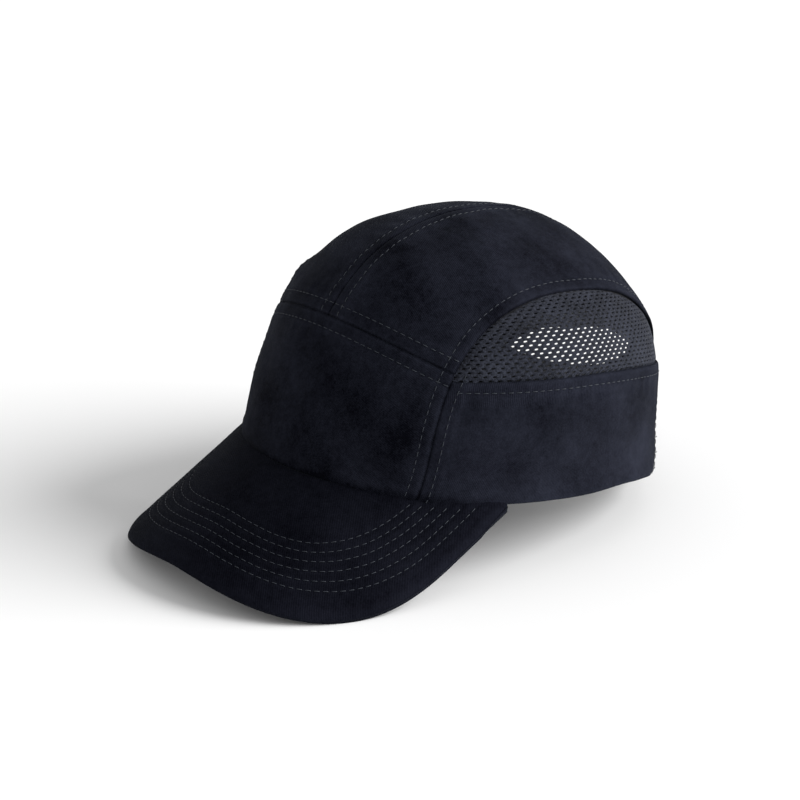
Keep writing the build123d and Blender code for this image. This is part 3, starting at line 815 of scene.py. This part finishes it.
def mesh_points(across, up, y_table, table):
    """Crown points for places on the flat mesh cloth."""
    seam_run = lengths_along(table[:, 0])
    seam_run -= np.interp(MESH_SEAM_PEAK_Y, y_table, seam_run)
    y = np.interp(across, seam_run, y_table)
    column = np.clip(np.searchsorted(y_table, y) - 1, 0, len(y_table) - 2)
    blend = (y - y_table[column]) / (y_table[column + 1] - y_table[column])
    points = np.zeros((len(across), 3))
    for index, (line, mix, height) in enumerate(zip(column, blend, up)):
        for side_line, share in ((line, 1 - mix), (line + 1, mix)):
            run = RUNS[side_line]
            line_points = table[side_line]
            there = [np.interp(height, run, line_points[:, k]) for k in range(3)]
            points[index] += share * np.array(there)
    return points, y


MESH_Y, MESH_TABLE, MESH_HEIGHTS = mesh_map()
RUNS = [lengths_along(line) for line in MESH_TABLE]


def knitted_cells():
    """Vertices (across, up, lift) and faces of a brick pattern of cells, each with one oval hole."""
    vertices = []
    faces = []
    known = {}
    half, rise = HOLE_PITCH / 2, ROW_PITCH / 2
    outline = [(-half, -rise), (0, -rise), (half, -rise), (half, 0)]
    outline += [(-across, -up) for across, up in outline]

    def vertex(across, up, lift):
        key = (round(across * 50), round(up * 50), lift)
        if key not in known:
            known[key] = len(vertices)
            vertices.append((across, up, lift))
        return known[key]

    for row in range(34):
        for column in range(-20, 25):
            middle = (column * HOLE_PITCH + (row % 2) * half, MESH_TUCK * 0.2 + row * ROW_PITCH)
            ring = []
            hole = []
            for across, up in outline:
                turn = math.atan2(up / rise, across / half)
                ring.append(vertex(middle[0] + across, middle[1] + up, 1))
                along = HOLE_HALF[0] * math.cos(turn)
                over = HOLE_HALF[1] * math.sin(turn) + HOLE_TILT * along
                hole.append(vertex(middle[0] + along, middle[1] + over, 0))
            for k in range(8):
                faces.append((ring[k], ring[(k + 1) % 8], hole[(k + 1) % 8], hole[k]))
    return np.array(vertices), faces


def make_mesh_panel(sign, side):
    """The knitted mesh insert above the ear, tucked under its neighbours along its edges."""
    flat, faces = knitted_cells()
    points, y = mesh_points(flat[:, 0], flat[:, 1], MESH_Y, MESH_TABLE)
    top = np.interp(y, MESH_Y, MESH_HEIGHTS)
    allowed = (flat[:, 1] < top) & (points[:, 0] > strip_half_width(points[:, 1]) - MESH_TUCK)
    faces = [face for face in faces if all(allowed[k] for k in face)]
    gap_seam, _ = distance_to(points, SEAMS["mesh_left"])
    gap_edge, _ = distance_to(points, SEAMS["edge_left"])
    under_seam = points[:, 2] < mesh_seam_z(points[:, 1])
    under_edge = points[:, 0] < strip_half_width(points[:, 1])
    inset = np.where(under_seam, gap_seam, -gap_seam)
    inset = np.maximum(inset, np.where(under_edge, gap_edge, -gap_edge))
    sink = 1.25 / (1 + np.exp(-(inset + 0.6) / 0.45))
    soft = 0.8 * swelling(points) + 0.35 * smooth_noise(points, 34, 21)
    points = points + crown_normal(points) * (soft - sink - 0.15 + flat[:, 2] * 0.22)[:, None]
    points[:, 0] *= sign
    used = sorted({k for face in faces for k in face})
    new_index = {old: new for new, old in enumerate(used)}
    faces = [[new_index[k] for k in face] for face in faces]
    if sign < 0:
        faces = [face[::-1] for face in faces]
    piece = new_piece(f"mesh_panel_{side}_knit", points[used], faces)
    thicken = piece.modifiers.new("thicken", "SOLIDIFY")
    thicken.thickness = MESH_THICKNESS * MM
    thicken.offset = -1
    rounding = piece.modifiers.new("rounding", "SUBSURF")
    rounding.levels = rounding.render_levels = 1
    apply_modifiers(piece)
    return finish_piece(piece, f"mesh_panel_{side}", MESH_KNIT)


def apply_modifiers(piece):
    """Turn the piece's modifiers into plain mesh."""
    bpy.context.view_layer.update()
    graph = bpy.context.evaluated_depsgraph_get()
    made = bpy.data.meshes.new_from_object(piece.evaluated_get(graph))
    piece.modifiers.clear()
    piece.data = made
    made.shade_smooth()


make_mesh_panel(1, "left")
make_mesh_panel(-1, "right")


# ---- brim ------------------------------------------------------------------------------------------------
BRIM_ROWS = 6
BRIM_ROW_HALF_WIDTH = 77.0
BRIM_ROW_REACH = 85.0
BRIM_ROW_STEPS = (3.2, 3.7)


def half_outline(half_width, reach, squareness, root, count=500):
    """Plan outline on the wearer's left, from the crown round to the middle of the front."""
    turn = np.linspace(0, math.pi / 2, count)
    x = half_width * np.cos(turn) ** (2 / squareness)
    y = BRIM_SHOULDER_Y - reach * np.sin(turn) ** (2 / squareness)
    x[-1] = 0
    straight = np.linspace(0, 1, 60)[:-1]
    x = np.concatenate([root[0] + (half_width - root[0]) * straight, x])
    y = np.concatenate([root[1] + (BRIM_SHOULDER_Y - root[1]) * straight, y])
    return np.stack([x, y, 0 * x], axis=1)


def whole_outline(half, count):
    other = mirrored(half)[::-1][1:]
    return resample(np.concatenate([half, other]), count)


BRIM_RELIEF_FLOOR = -0.48
BRIM_COVER_THICKNESS = 0.62
BRIM_GRID_ACROSS = 300


def row_shape(k):
    """Half width, reach and squareness of the brim's k-th stitched row, counted from the edge."""
    half_width = BRIM_ROW_HALF_WIDTH - BRIM_ROW_STEPS[0] * k
    reach = BRIM_ROW_REACH - BRIM_ROW_STEPS[1] * k
    return half_width, reach, 2.5 + 0.04 * k


def row_level(x, y):
    """Which stitched row a place on the brim lies on, counted inwards from the outer row."""
    low = np.full(x.shape, -4.0)
    high = np.full(x.shape, 22.0)
    for _ in range(30):
        k = (low + high) / 2
        half_width, reach, power = row_shape(k)
        ahead = np.maximum(BRIM_SHOULDER_Y - y, 0) / np.maximum(reach, 1)
        outside = (np.abs(x) / np.maximum(half_width, 1)) ** power + ahead**power > 1
        high = np.where(outside, k, high)
        low = np.where(outside, low, k)
    return (low + high) / 2


def row_gap(x, y):
    """How far these places are from the nearest stitched row."""
    level = row_level(x, y)
    return (level - np.clip(np.round(level), 0, BRIM_ROWS - 1)) * BRIM_ROW_STEPS[0]


def brim_relief(x, y):
    """Channels along the stitched rows and soft unevenness between them, with the cloth's wear."""
    gap = row_gap(x, y)
    points = np.stack([x, y, 0 * x], axis=-1)
    relief = -0.30 * np.exp(-((gap / 0.8) ** 2)) + 0.12 * np.exp(-(((np.abs(gap) - 1.7) / 0.9) ** 2))
    relief += 0.16 + 0.12 * smooth_noise(points, 60, 31) + 0.06 * smooth_noise(points, 16, 32)
    wear_and_painted_light = 0.4 + 0.4 * smooth_noise(points, 34, 33)
    return np.maximum(relief, BRIM_RELIEF_FLOOR), wear_and_painted_light


def brim_grid(across, out):
    """Plan points of the brim: across runs round the crown, out runs from the crown to the edge."""
    root = (BRIM_ROOT_X, BRIM_ROOT_Y)
    outer = whole_outline(half_outline(BRIM_HALF_WIDTH, BRIM_REACH, BRIM_SQUARENESS, root), across)
    turn_end = math.acos(-BRIM_ROOT_Y / (FRONT_REACH - BRIM_TUCK))
    turn = np.linspace(turn_end, -turn_end, 400)
    inner_x = (HALF_WIDTH - BRIM_TUCK) * np.sin(turn)
    inner_y = -(FRONT_REACH - BRIM_TUCK) * np.cos(turn)
    inner = np.stack([inner_x, inner_y, 0 * turn], axis=1)
    inner = resample(inner, across)
    share = out[:, None, None]
    return inner[None] * (1 - share) + outer[None] * share, outer


def brim_cover(node, depth_sign):
    """One face of the brim with its edge turned round to the seam at mid thickness."""
    out = np.concatenate([np.linspace(0, 0.96, 92), 1 - 0.04 * (1 - np.linspace(0, 1, 16)[1:]) ** 2])
    plan, outer = brim_grid(BRIM_GRID_ACROSS, out)
    x, y = plan[..., 0], plan[..., 1]
    from_edge = np.linalg.norm(plan - outer[None], axis=2)
    half = BRIM_THICKNESS / 2
    roll = np.clip(from_edge / half, 0, 1)
    face = half * np.sqrt(np.maximum(1 - (1 - roll) ** 2, 0))
    relief, wear_and_painted_light = brim_relief(x, y)
    keep = np.clip(from_edge / 4, 0, 1) * np.clip((1.2 - out[:, None]) / 0.1, 0, 1)
    near_crown = np.clip(out[:, None] * 12, 0, 1)
    seam_dip = 0.25 * np.exp(-((from_edge / 0.5) ** 2))
    edge_roll = 0.22 * np.exp(-(((from_edge - 2.4) / 1.2) ** 2))
    outer_depth = half - depth_sign * (face + relief * keep * near_crown + edge_roll - seam_dip)
    inner_depth = half + depth_sign * np.minimum(depth_sign * (outer_depth - half) + BRIM_COVER_THICKNESS, 0)
    thin = 0.35 + 0.65 * np.clip((BRIM_ROOT_Y - y) / 14, 0, 1)
    outer_depth = outer_depth * np.where(depth_sign > 0, 1, thin)
    inner_depth = inner_depth * thin
    top = np.stack([x, y, brim_height(x, y, outer_depth)], axis=-1)
    under = np.stack([x, y, brim_height(x, y, inner_depth)], axis=-1)
    # Lighter towards the outer edge, partly wear and partly a painted highlight on the rolled edge; lighter
    # along the stitched rows from wear.
    wear_and_painted_light = wear_and_painted_light + 0.9 * np.exp(-((from_edge / 1.6) ** 2)) + 0.3 * np.exp(-((row_gap(x, y) / 1.0) ** 2))
    if depth_sign > 0:
        points, faces = slab(top, under)
    else:
        points, faces = slab(top[:, ::-1], under[:, ::-1])
        wear_and_painted_light = wear_and_painted_light[:, ::-1]
        plan = plan[:, ::-1]
    piece = new_piece(node + "_cloth", points, faces)
    grain = plan.reshape(-1, 3)
    store_vectors(piece, "grain", np.concatenate([grain, grain]))
    store(piece, "wear_and_painted_light", np.concatenate([wear_and_painted_light.ravel(), wear_and_painted_light.ravel()]))
    return finish_piece(piece, node, BRIM_TWILL_PAINTED_SHADE)


def brim_row(k, depth_sign):
    """One stitched row of the brim on its upper or lower face."""
    half_width, reach, power = row_shape(k)
    half = half_outline(half_width, reach, power, (half_width, BRIM_ROOT_Y + 2))
    line = whole_outline(half, 700)
    clear = (line[:, 0] / HALF_WIDTH) ** 2 + (line[:, 1] / FRONT_REACH) ** 2 > 1.001
    line = line[clear]
    relief, _ = brim_relief(line[:, 0], line[:, 1])
    half_thick = BRIM_THICKNESS / 2
    depth = half_thick - depth_sign * (half_thick + relief)
    line[:, 2] = brim_height(line[:, 0], line[:, 1], depth)
    slope_x = -line[:, 0] / np.sqrt(BRIM_ARCH_RADIUS**2 - line[:, 0] ** 2)
    normal = np.stack([-slope_x, np.full(len(line), -BRIM_SLOPE), np.ones(len(line))], axis=1)
    normal /= np.linalg.norm(normal, axis=1, keepdims=True)
    return line, normal * depth_sign


brim_cover("brim_top_cover", 1)
brim_cover("brim_under_cover", -1)
stitches("brim_stitches", [brim_row(k, 1) for k in range(BRIM_ROWS)])
stitches("brim_under_stitches", [brim_row(k, -1) for k in range(BRIM_ROWS)])

# ---- stitched rows of the crown ---------------------------------------------------------------------------
stitches(
    "crown_stitches",
    [
        row_beside("centre", -5.5),
        row_beside("centre", 5.5),
        row_beside("front", -6),
        row_beside("front", 6),
        row_beside("edge_left", -5.5),
        row_beside("edge_left", 4.5, end=0.27),
        row_beside("edge_right", 5.5),
        row_beside("edge_right", -4.5, end=0.27),
        row_beside("mesh_left", 5),
        row_beside("mesh_right", -5),
        row_beside("arch", 4.5),
    ],
)


# ---- bands that lie under the cover ---------------------------------------------------------------------
TAPE_HALF_WIDTH = 7.0
BINDING_WIDTH = 9.0
SWEATBAND_HEIGHT = 34.0
SWEATBAND_END_X = 72.0
BACKING = (48.0, 38.0, 56.0)
BROW_FOAM = (54.0, 4.0, 29.0)
FRONT_PAD = (46.0, 47.0, 72.0)
REAR_PAD = (40.0, 56.0, 74.0)
SIDE_PAD = (40.0, 44.5, 54.5)
CROWN_PAD_HALF = (24.0, 66.0)


def under_relief(base):
    """The same places, moved with the cloth's relief, so that a layer follows the cloth above it."""

    def followed(a, w):
        points = base(a, w)
        relief, _ = cloth_relief(points)
        return points + crown_normal(points) * np.minimum(relief, 0.6)[..., None]

    return followed


def along_seam(seam, start=0.0, end=1.0, shift=0.0):
    """Places beside a seam: a share of its run, and w millimetres to its right."""
    line = SEAMS[seam]
    tangent = np.gradient(line, axis=0)
    tangent /= np.linalg.norm(tangent, axis=1, keepdims=True)
    beside = np.cross(tangent, crown_normal(line))
    share = np.linspace(0, 1, len(line))

    def base(a, w):
        at = start + a * (end - start)
        middle = np.stack([np.interp(at, share, line[:, k]) for k in range(3)], axis=-1)
        side = np.stack([np.interp(at, share, beside[:, k]) for k in range(3)], axis=-1)
        return on_crown(middle + side * (w + shift)[..., None])

    return base


def round_rim(end_turn, middle):
    """Places round the head opening: a share of the way round, and w millimetres above the middle."""

    def base(a, w):
        turn = (2 * a - 1) * end_turn
        y = -FRONT_REACH * np.cos(turn)
        for _ in range(12):
            z = rim_z(y) + middle + w
            side, front, back = crown_axes(z)
            y = -np.where(np.cos(turn) > 0, front, back) * np.cos(turn)
        return np.stack([side * np.sin(turn), y, z], axis=-1)

    return base


def across_wall(half_width, low, high, facing):
    """Places on the front (-1) or back (+1) wall of the crown, from one side of the cap to the other."""

    def base(a, w):
        x = (2 * a - 1) * half_width
        z = (low + high) / 2 + w
        side, front, back = crown_axes(z)
        reach = back if facing > 0 else front
        return np.stack([x, facing * reach * np.sqrt(1 - (x / side) ** 2), z], axis=-1)

    return base


def along_side(half_length, low, high):
    """Places on the wearer's left wall of the crown, from front to back."""

    def base(a, w):
        y = (2 * a - 1) * half_length
        z = (low + high) / 2 + w
        side, front, back = crown_axes(z)
        x = side * np.sqrt(1 - (y / np.where(y < 0, front, back)) ** 2)
        return np.stack([x, y, z], axis=-1)

    return base


def over_top(half_length):
    """Places on top of the crown, from front to back."""

    def base(a, w):
        y = (2 * a - 1) * half_length
        low = np.full(np.broadcast(a, w).shape, 30.0)
        high = np.full(low.shape, CROWN_HEIGHT * 0.9995)
        for _ in range(40):
            z = (low + high) / 2
            outside = crown_reading(np.stack([w + 0 * z, y + 0 * z, z], axis=-1)) > 1
            high = np.where(outside, z, high)
            low = np.where(outside, low, z)
        return np.stack([w + 0 * z, y + 0 * z, z], axis=-1)

    return base


def mirror_piece(piece, name):
    """The same piece on the wearer's right."""
    twin = piece.copy()
    twin.data = piece.data.copy()
    twin.name = name
    bpy.context.collection.objects.link(twin)
    twin.data.transform(Matrix.Diagonal((-1, 1, 1, 1)))
    twin.data.flip_normals()
    return twin


TAPE_SECTION = section_of(TAPE_HALF_WIDTH, 0.98, 1.45, rib=0.04, rib_pitch=2.0, columns=30)


def make_tape(node, seam, start, end, rows):
    length = lengths_along(SEAMS[seam])[-1] * (end - start)
    piece = band(node + "_cloth", under_relief(along_seam(seam, start, end)), rows, TAPE_SECTION, length)
    return finish_piece(piece, node, TAPE_CLOTH)


make_tape("centre_seam_tape", "centre", 0.04, 0.955, 260)
make_tape("front_seam_tape", "front", 0.055, 0.945, 150)
make_tape("side_seam_tape_left", "edge_left", 0.003, 0.90, 330)
make_tape("side_seam_tape_right", "edge_right", 0.003, 0.90, 330)

binding_section = section_of(BINDING_WIDTH / 2, 0.98, 1.55, rib=0.03, rib_pitch=1.5, columns=24)
binding_base = under_relief(along_seam("arch", 0.0, 1.0, BINDING_WIDTH / 2 - 0.2))
binding_length = lengths_along(SEAMS["arch"])[-1]
binding = band("rear_arch_binding_cloth", binding_base, 300, binding_section, binding_length)
finish_piece(binding, "rear_arch_binding", TAPE_CLOTH)

half_width, low, high = BACKING
backing_section = section_of((high - low) / 2, 1.62, 2.4, rib=0.05, rib_pitch=2.6, columns=28)
backing_base = under_relief(across_wall(half_width, low, high, -1))
backing = band("front_panel_backing_sheet", backing_base, 90, backing_section, 2 * half_width, 4.0)
finish_piece(backing, "front_panel_backing", BACKING_CLOTH)

end_turn = math.pi - math.asin(SWEATBAND_END_X / HALF_WIDTH)
band_section = section_of(SWEATBAND_HEIGHT / 2 - 0.3, 1.62, 3.35, rib=0.05, rib_pitch=2.4, columns=46)
band_base = under_relief(round_rim(end_turn, SWEATBAND_HEIGHT / 2 + 0.3))
sweatband = band("sweatband_cloth", band_base, 420, band_section, 500.0, 2.0)
finish_piece(sweatband, "sweatband", BAND_CLOTH)


# ---- foam, swollen by a short cloth simulation --------------------------------------------------------
def swell(piece, cap_mm, pressure=4.0):
    """Let the foam's skin swell under pressure, no point further than the cap, and keep the result."""
    scene = bpy.context.scene
    start = np.empty(len(piece.data.vertices) * 3, np.float32)
    piece.data.vertices.foreach_get("co", start)
    cloth = piece.modifiers.new("swell", "CLOTH")
    cloth.settings.use_pressure = True
    cloth.settings.uniform_pressure_force = pressure
    cloth.settings.quality = 5
    cloth.settings.tension_stiffness = 20
    cloth.settings.effector_weights.gravity = 0
    cloth.collision_settings.use_collision = False
    for step in range(1, 13):
        scene.frame_set(step)
    graph = bpy.context.evaluated_depsgraph_get()
    swollen = piece.evaluated_get(graph).to_mesh()
    end = np.empty_like(start)
    swollen.vertices.foreach_get("co", end)
    piece.evaluated_get(graph).to_mesh_clear()
    piece.modifiers.remove(cloth)
    scene.frame_set(1)
    move = (end - start).reshape(-1, 3)
    far = np.linalg.norm(move, axis=1, keepdims=True)
    move *= np.minimum(1, cap_mm * MM / np.maximum(far, 1e-9))
    piece.data.vertices.foreach_set("co", (start.reshape(-1, 3) + move).ravel())
    piece.data.update()


FOAM_SHELL_GAP = 0.35
FOAM_HEAD_GAP = 1.5
FOAM_CROWN = 0.7
PAD_LAYER = (7.4, 11.4)
CROWN_PAD_LAYER = (7.4, 12.4)
BROW_FOAM_LAYER = (3.6, 7.2)


def foam_pad(node, base, rows, half_width, layer, length, corner, cap=0.7):
    """A foam pad with rounded corners, crowned towards the head and thinner than its CAD solid."""
    outer, inner = layer
    near, far = outer + FOAM_SHELL_GAP, inner - FOAM_HEAD_GAP
    section = section_of(half_width - 0.6, near, far, crown=FOAM_CROWN, columns=28)
    piece = band(node + "_foam", base, rows, section, length, corner, 1.6)
    swell(piece, cap)
    smooth = piece.modifiers.new("rounding", "SUBSURF")
    smooth.levels = smooth.render_levels = 1
    apply_modifiers(piece)
    return piece


half_width, low, high = FRONT_PAD
pad = foam_pad("front_pad", across_wall(half_width - 0.6, low, high, -1), 60, 12.5, PAD_LAYER, 91.0, 8.2)
finish_piece(pad, "front_pad", FOAM, "shell")
half_width, low, high = REAR_PAD
pad = foam_pad("rear_pad", across_wall(half_width - 0.6, low, high, 1), 54, 9.0, PAD_LAYER, 79.0, 6.0)
finish_piece(pad, "rear_pad", FOAM, "shell")
half_length, low, high = SIDE_PAD
pad = foam_pad("side_pad_left", along_side(half_length - 0.6, low, high), 54, 5.0, PAD_LAYER, 79.0, 3.3)
twin = mirror_piece(pad, "side_pad_right_foam")
finish_piece(pad, "side_pad_left", FOAM, "shell")
finish_piece(twin, "side_pad_right", FOAM, "shell")
half_width, half_length = CROWN_PAD_HALF
pad = foam_pad("crown_pad", over_top(half_length - 0.6), 88, half_width, CROWN_PAD_LAYER, 131.0, 12.0)
finish_piece(pad, "crown_pad", FOAM, "shell")
half_width, low, high = BROW_FOAM
brow_base = across_wall(half_width - 0.6, low, high, -1)
brow = foam_pad("brow_foam", brow_base, 70, 12.5, BROW_FOAM_LAYER, 107.0, 6.0, cap=0.5)
finish_piece(brow, "brow_foam", BAND_CLOTH)

# ---- strap and its ring ------------------------------------------------------------------------------
STRAP_WIDTH = 20.0
STRAP_RISE = 0.00294
STRAP_END_X = 70.0
STRAP_INSET = 2.3
TAIL_INSET = -2.7
FOLD_RADIUS = 2.5
WEB_HALF_THICKNESS = 0.46
RING_X = -46.0
RING_BAR_SPACING = 11.0
RING_AXIS_INSET = -0.2
TAIL_END_X = 16.0
TAIL_TIP = 9.5
LOOP_PATCH_X = (-30.0, 42.0)
LOOP_PATCH_LAYER = (-0.1, 1.7)
HOOK_PATCH_X = (-30.0, 13.0)
HOOK_PATCH_LAYER = (-2.1, -0.45)
STRAP_LOW = rim_z(BACK_REACH - 1.8)
ring_side = HALF_WIDTH - RING_AXIS_INSET
ring_back = BACK_REACH - RING_AXIS_INSET
ring_y = ring_back * math.sqrt(1 - (RING_X / ring_side) ** 2)
RING_CENTRE = np.array([RING_X, ring_y, STRAP_LOW + STRAP_RISE * RING_X**2 + STRAP_WIDTH / 2])
RING_ALONG = np.array([ring_y / ring_back**2, -RING_X / ring_side**2, 0.0])
RING_ALONG /= np.linalg.norm(RING_ALONG)
RING_OUT = np.cross(RING_ALONG, np.array([0.0, 0.0, 1.0]))
RING_OUT *= np.sign(RING_OUT[1])


def back_of_crown(x, w, inset):
    """Places along the strap's line on the back of the crown, at an inset."""
    z = STRAP_LOW + STRAP_WIDTH / 2 + STRAP_RISE * x**2 + w
    side, _, back = crown_axes(np.maximum(z, 0), inset)
    return np.stack([x + 0 * w, back * np.sqrt(1 - (x / side) ** 2), z], axis=-1)


def capped_tube(name, grid):
    """A closed piece whose rows are its sections, with a flat cap at each end."""
    count, columns = grid.shape[:2]
    faces = grid_faces(count, columns, closed=True)
    faces += [tuple(range(columns - 1, -1, -1)), tuple((count - 1) * columns + j for j in range(columns))]
    return new_piece(name, grid.reshape(-1, 3), faces)


def webbing_piece(name, x_run, inset, half_width, bar_side=0, fold=None, tip=0.0):
    """A length of webbing along the strap's line, folded round one bar of the ring at its end."""
    section = section_of(half_width, -WEB_HALF_THICKNESS, WEB_HALF_THICKNESS, rib=0.05, columns=44)
    across, depth = section[:, 0], section[:, 1]
    rows = []
    for x in x_run:
        from_tip = abs(x - x_run[0])
        keep = 1.0
        if tip and from_tip < tip:
            keep = math.sqrt(max(1 - (1 - from_tip / tip) ** 2, 0.0005))
        rows.append(back_of_crown(x, across * keep, inset + depth))
    bar = RING_CENTRE + RING_ALONG * bar_side * RING_BAR_SPACING / 2
    for turn in np.radians(fold) if fold is not None else ():
        radial = math.cos(turn) * RING_OUT - bar_side * math.sin(turn) * RING_ALONG
        away = FOLD_RADIUS + depth * np.sign(-inset)
        rows.append(bar + radial * away[:, None] + np.array([0, 0, 1.0]) * across[:, None])
    grid = np.array(rows)
    piece = capped_tube(name, grid)
    run = np.concatenate([[0], np.cumsum(np.linalg.norm(np.diff(grid[:, 0], axis=0), axis=1))])
    flat = 0 * grid[..., 0]
    grain = np.stack([across[None] + flat, run[:, None] + flat, flat], axis=-1)
    store_vectors(piece, "grain", grain.reshape(-1, 3))
    return piece


bar_near = RING_X + RING_ALONG[0] * RING_BAR_SPACING / 2
bar_far = RING_X - RING_ALONG[0] * RING_BAR_SPACING / 2
strap_run = np.linspace(STRAP_END_X, bar_near + 3.4, 110)
strap = webbing_piece("strap_webbing", strap_run, STRAP_INSET, STRAP_WIDTH / 2)
finish_piece(strap, "strap", WEBBING)
tab_run = np.linspace(-STRAP_END_X, bar_far, 30)
tab = webbing_piece("ring_tab_webbing", tab_run, STRAP_INSET, STRAP_WIDTH / 2, -1, np.linspace(175, -85, 30))
finish_piece(tab, "ring_tab", WEBBING)
tail_half = STRAP_WIDTH / 2 - 0.7
tip_run = TAIL_END_X - TAIL_TIP * (1 - np.cos(np.linspace(0, math.pi / 2, 20)))
tail_run = np.concatenate([tip_run, np.linspace(tip_run[-1], bar_near, 70)[1:]])
tail_fold = np.linspace(5, 265, 30)
tail = webbing_piece("strap_tail_webbing", tail_run, TAIL_INSET, tail_half, 1, tail_fold, TAIL_TIP)
finish_piece(tail, "strap_tail", WEBBING, "strap_tail")


def patch(name, node, x_range, layer, material, body):
    """A rectangle of hook or loop tape along the strap's line."""
    start, end = x_range
    outer, inner = layer
    section = section_of(STRAP_WIDTH / 2 - 1.5, 0, inner - outer, rib=0.05, rib_pitch=0.9, columns=40)
    across, depth = section[:, 0], section[:, 1]
    x_run = np.linspace(start, end, 110)
    piece = capped_tube(name, np.array([back_of_crown(x, across, outer + depth) for x in x_run]))
    return finish_piece(piece, node, material, body)


patch("loop_tape", "strap_loop_patch", LOOP_PATCH_X, LOOP_PATCH_LAYER, LOOP_PILE, "cover")
patch("hook_tape", "strap_hook_patch", HOOK_PATCH_X, HOOK_PATCH_LAYER, HOOK_PILE, "strap_tail")


def strap_row(x_range, offset, inset):
    """A stitched row along the strap's line, on the face at this inset."""
    x = np.linspace(*x_range, 120)
    line = back_of_crown(x, np.full_like(x, offset), inset)
    normal = np.stack([line[:, 0] / HALF_WIDTH**2, line[:, 1] / BACK_REACH**2, 0 * x], axis=1)
    return line, normal / np.linalg.norm(normal, axis=1, keepdims=True)


strap_rows = [strap_row((-28, 40), side * 7.3, -0.1) for side in (-1, 1)]
tail_rows = [strap_row((-28, 11), side * 7.6, TAIL_INSET - WEB_HALF_THICKNESS) for side in (-1, 1)]
stitches("strap_stitches", strap_rows, pitch=3.2)
stitches("strap_tail_stitches", tail_rows, "strap_tail", pitch=3.2)
END_STITCHES = ((61.5, 69), (-69, -61.5))
end_rows = [strap_row(span, level, -0.45) for span in END_STITCHES for level in (-8, 0, 8)]
stitches("strap_end_stitches", end_rows, pitch=3.0)

# ---- CAD pieces shown as they are ---------------------------------------------------------------------
SHOWN = {"inner_shell": SHELL_PLASTIC, "strap_ring": RING_PLASTIC, "brim_board": BOARD_PLASTIC}
for name, finish in SHOWN.items():
    plain = frame["nodes"][name]
    for index in range(len(plain.data.materials)):
        plain.data.materials[index] = finish


# ---- camera, floor and light ----------------------------------------------------------------------------
CAMERA_PLACE = (844.19, -820.29, 380.57)
CAMERA_AZIMUTH = math.radians(47.172)
CAMERA_ELEVATION = math.radians(17.216)
CAMERA_ROLL = math.radians(5.7415)
FLOOR_REACH = 30.0
FLOOR_TONE = 0.9
SKY_STRENGTH = 0.56
KEY_STRENGTH = 5.0
KEY_FROM = (0.62, 0.68, 0.40)
KEY_SOFTNESS = 50


def add_camera():
    """The camera looks at the cap from the wearer's left front, a little above."""
    data = bpy.data.cameras.new("camera")
    data.lens = 115.83
    data.sensor_width = 36
    camera = bpy.data.objects.new("camera", data)
    bpy.context.collection.objects.link(camera)
    level = math.cos(CAMERA_ELEVATION)
    sine, cosine = math.sin(CAMERA_AZIMUTH), math.cos(CAMERA_AZIMUTH)
    back = np.array([sine * level, -cosine * level, math.sin(CAMERA_ELEVATION)])
    right = np.array([cosine, sine, 0])
    up = np.cross(back, right)
    rolled_right = right * math.cos(CAMERA_ROLL) + up * math.sin(CAMERA_ROLL)
    rolled_up = up * math.cos(CAMERA_ROLL) - right * math.sin(CAMERA_ROLL)
    to_row = np.stack([RIM_RIGHT, RIM_BACK, RIM_UP], axis=1)
    turned = Matrix((to_row @ np.stack([rolled_right, rolled_up, back], axis=1)).tolist())
    camera.matrix_world = Matrix.Translation(Vector(place(CAMERA_PLACE))) @ turned.to_4x4()
    bpy.context.scene.camera = camera


def add_floor():
    """A plain pale floor that reaches past the camera's view."""
    mesh = bpy.data.meshes.new("floor")
    reach = FLOOR_REACH
    corners = [(-reach, -reach, 0), (reach, -reach, 0), (reach, reach, 0), (-reach, reach, 0)]
    mesh.from_pydata(corners, [], [(0, 1, 2, 3)])
    floor = bpy.data.objects.new("floor", mesh)
    bpy.context.collection.objects.link(floor)
    material, tree, shader = blank_material("pale_floor", (FLOOR_TONE,) * 3, 0.9, 0.0)
    mesh.materials.append(material)


def add_key_light(strength, towards, softness):
    """A very broad, soft light, like a large diffuser, that shines from this direction."""
    data = bpy.data.lights.new("key", "SUN")
    data.energy = strength
    data.angle = math.radians(softness)
    lamp = bpy.data.objects.new("key", data)
    bpy.context.collection.objects.link(lamp)
    lamp.rotation_euler = Vector(towards).to_track_quat("Z", "Y").to_euler()


add_camera()
add_floor()
world = bpy.data.worlds.new("studio")
world.use_nodes = True
world.node_tree.nodes["Background"].inputs["Color"].default_value = (1, 1, 1, 1)
world.node_tree.nodes["Background"].inputs["Strength"].default_value = SKY_STRENGTH
bpy.context.scene.world = world
bpy.context.scene.view_settings.view_transform = "Standard"
add_key_light(KEY_STRENGTH, KEY_FROM, KEY_SOFTNESS)
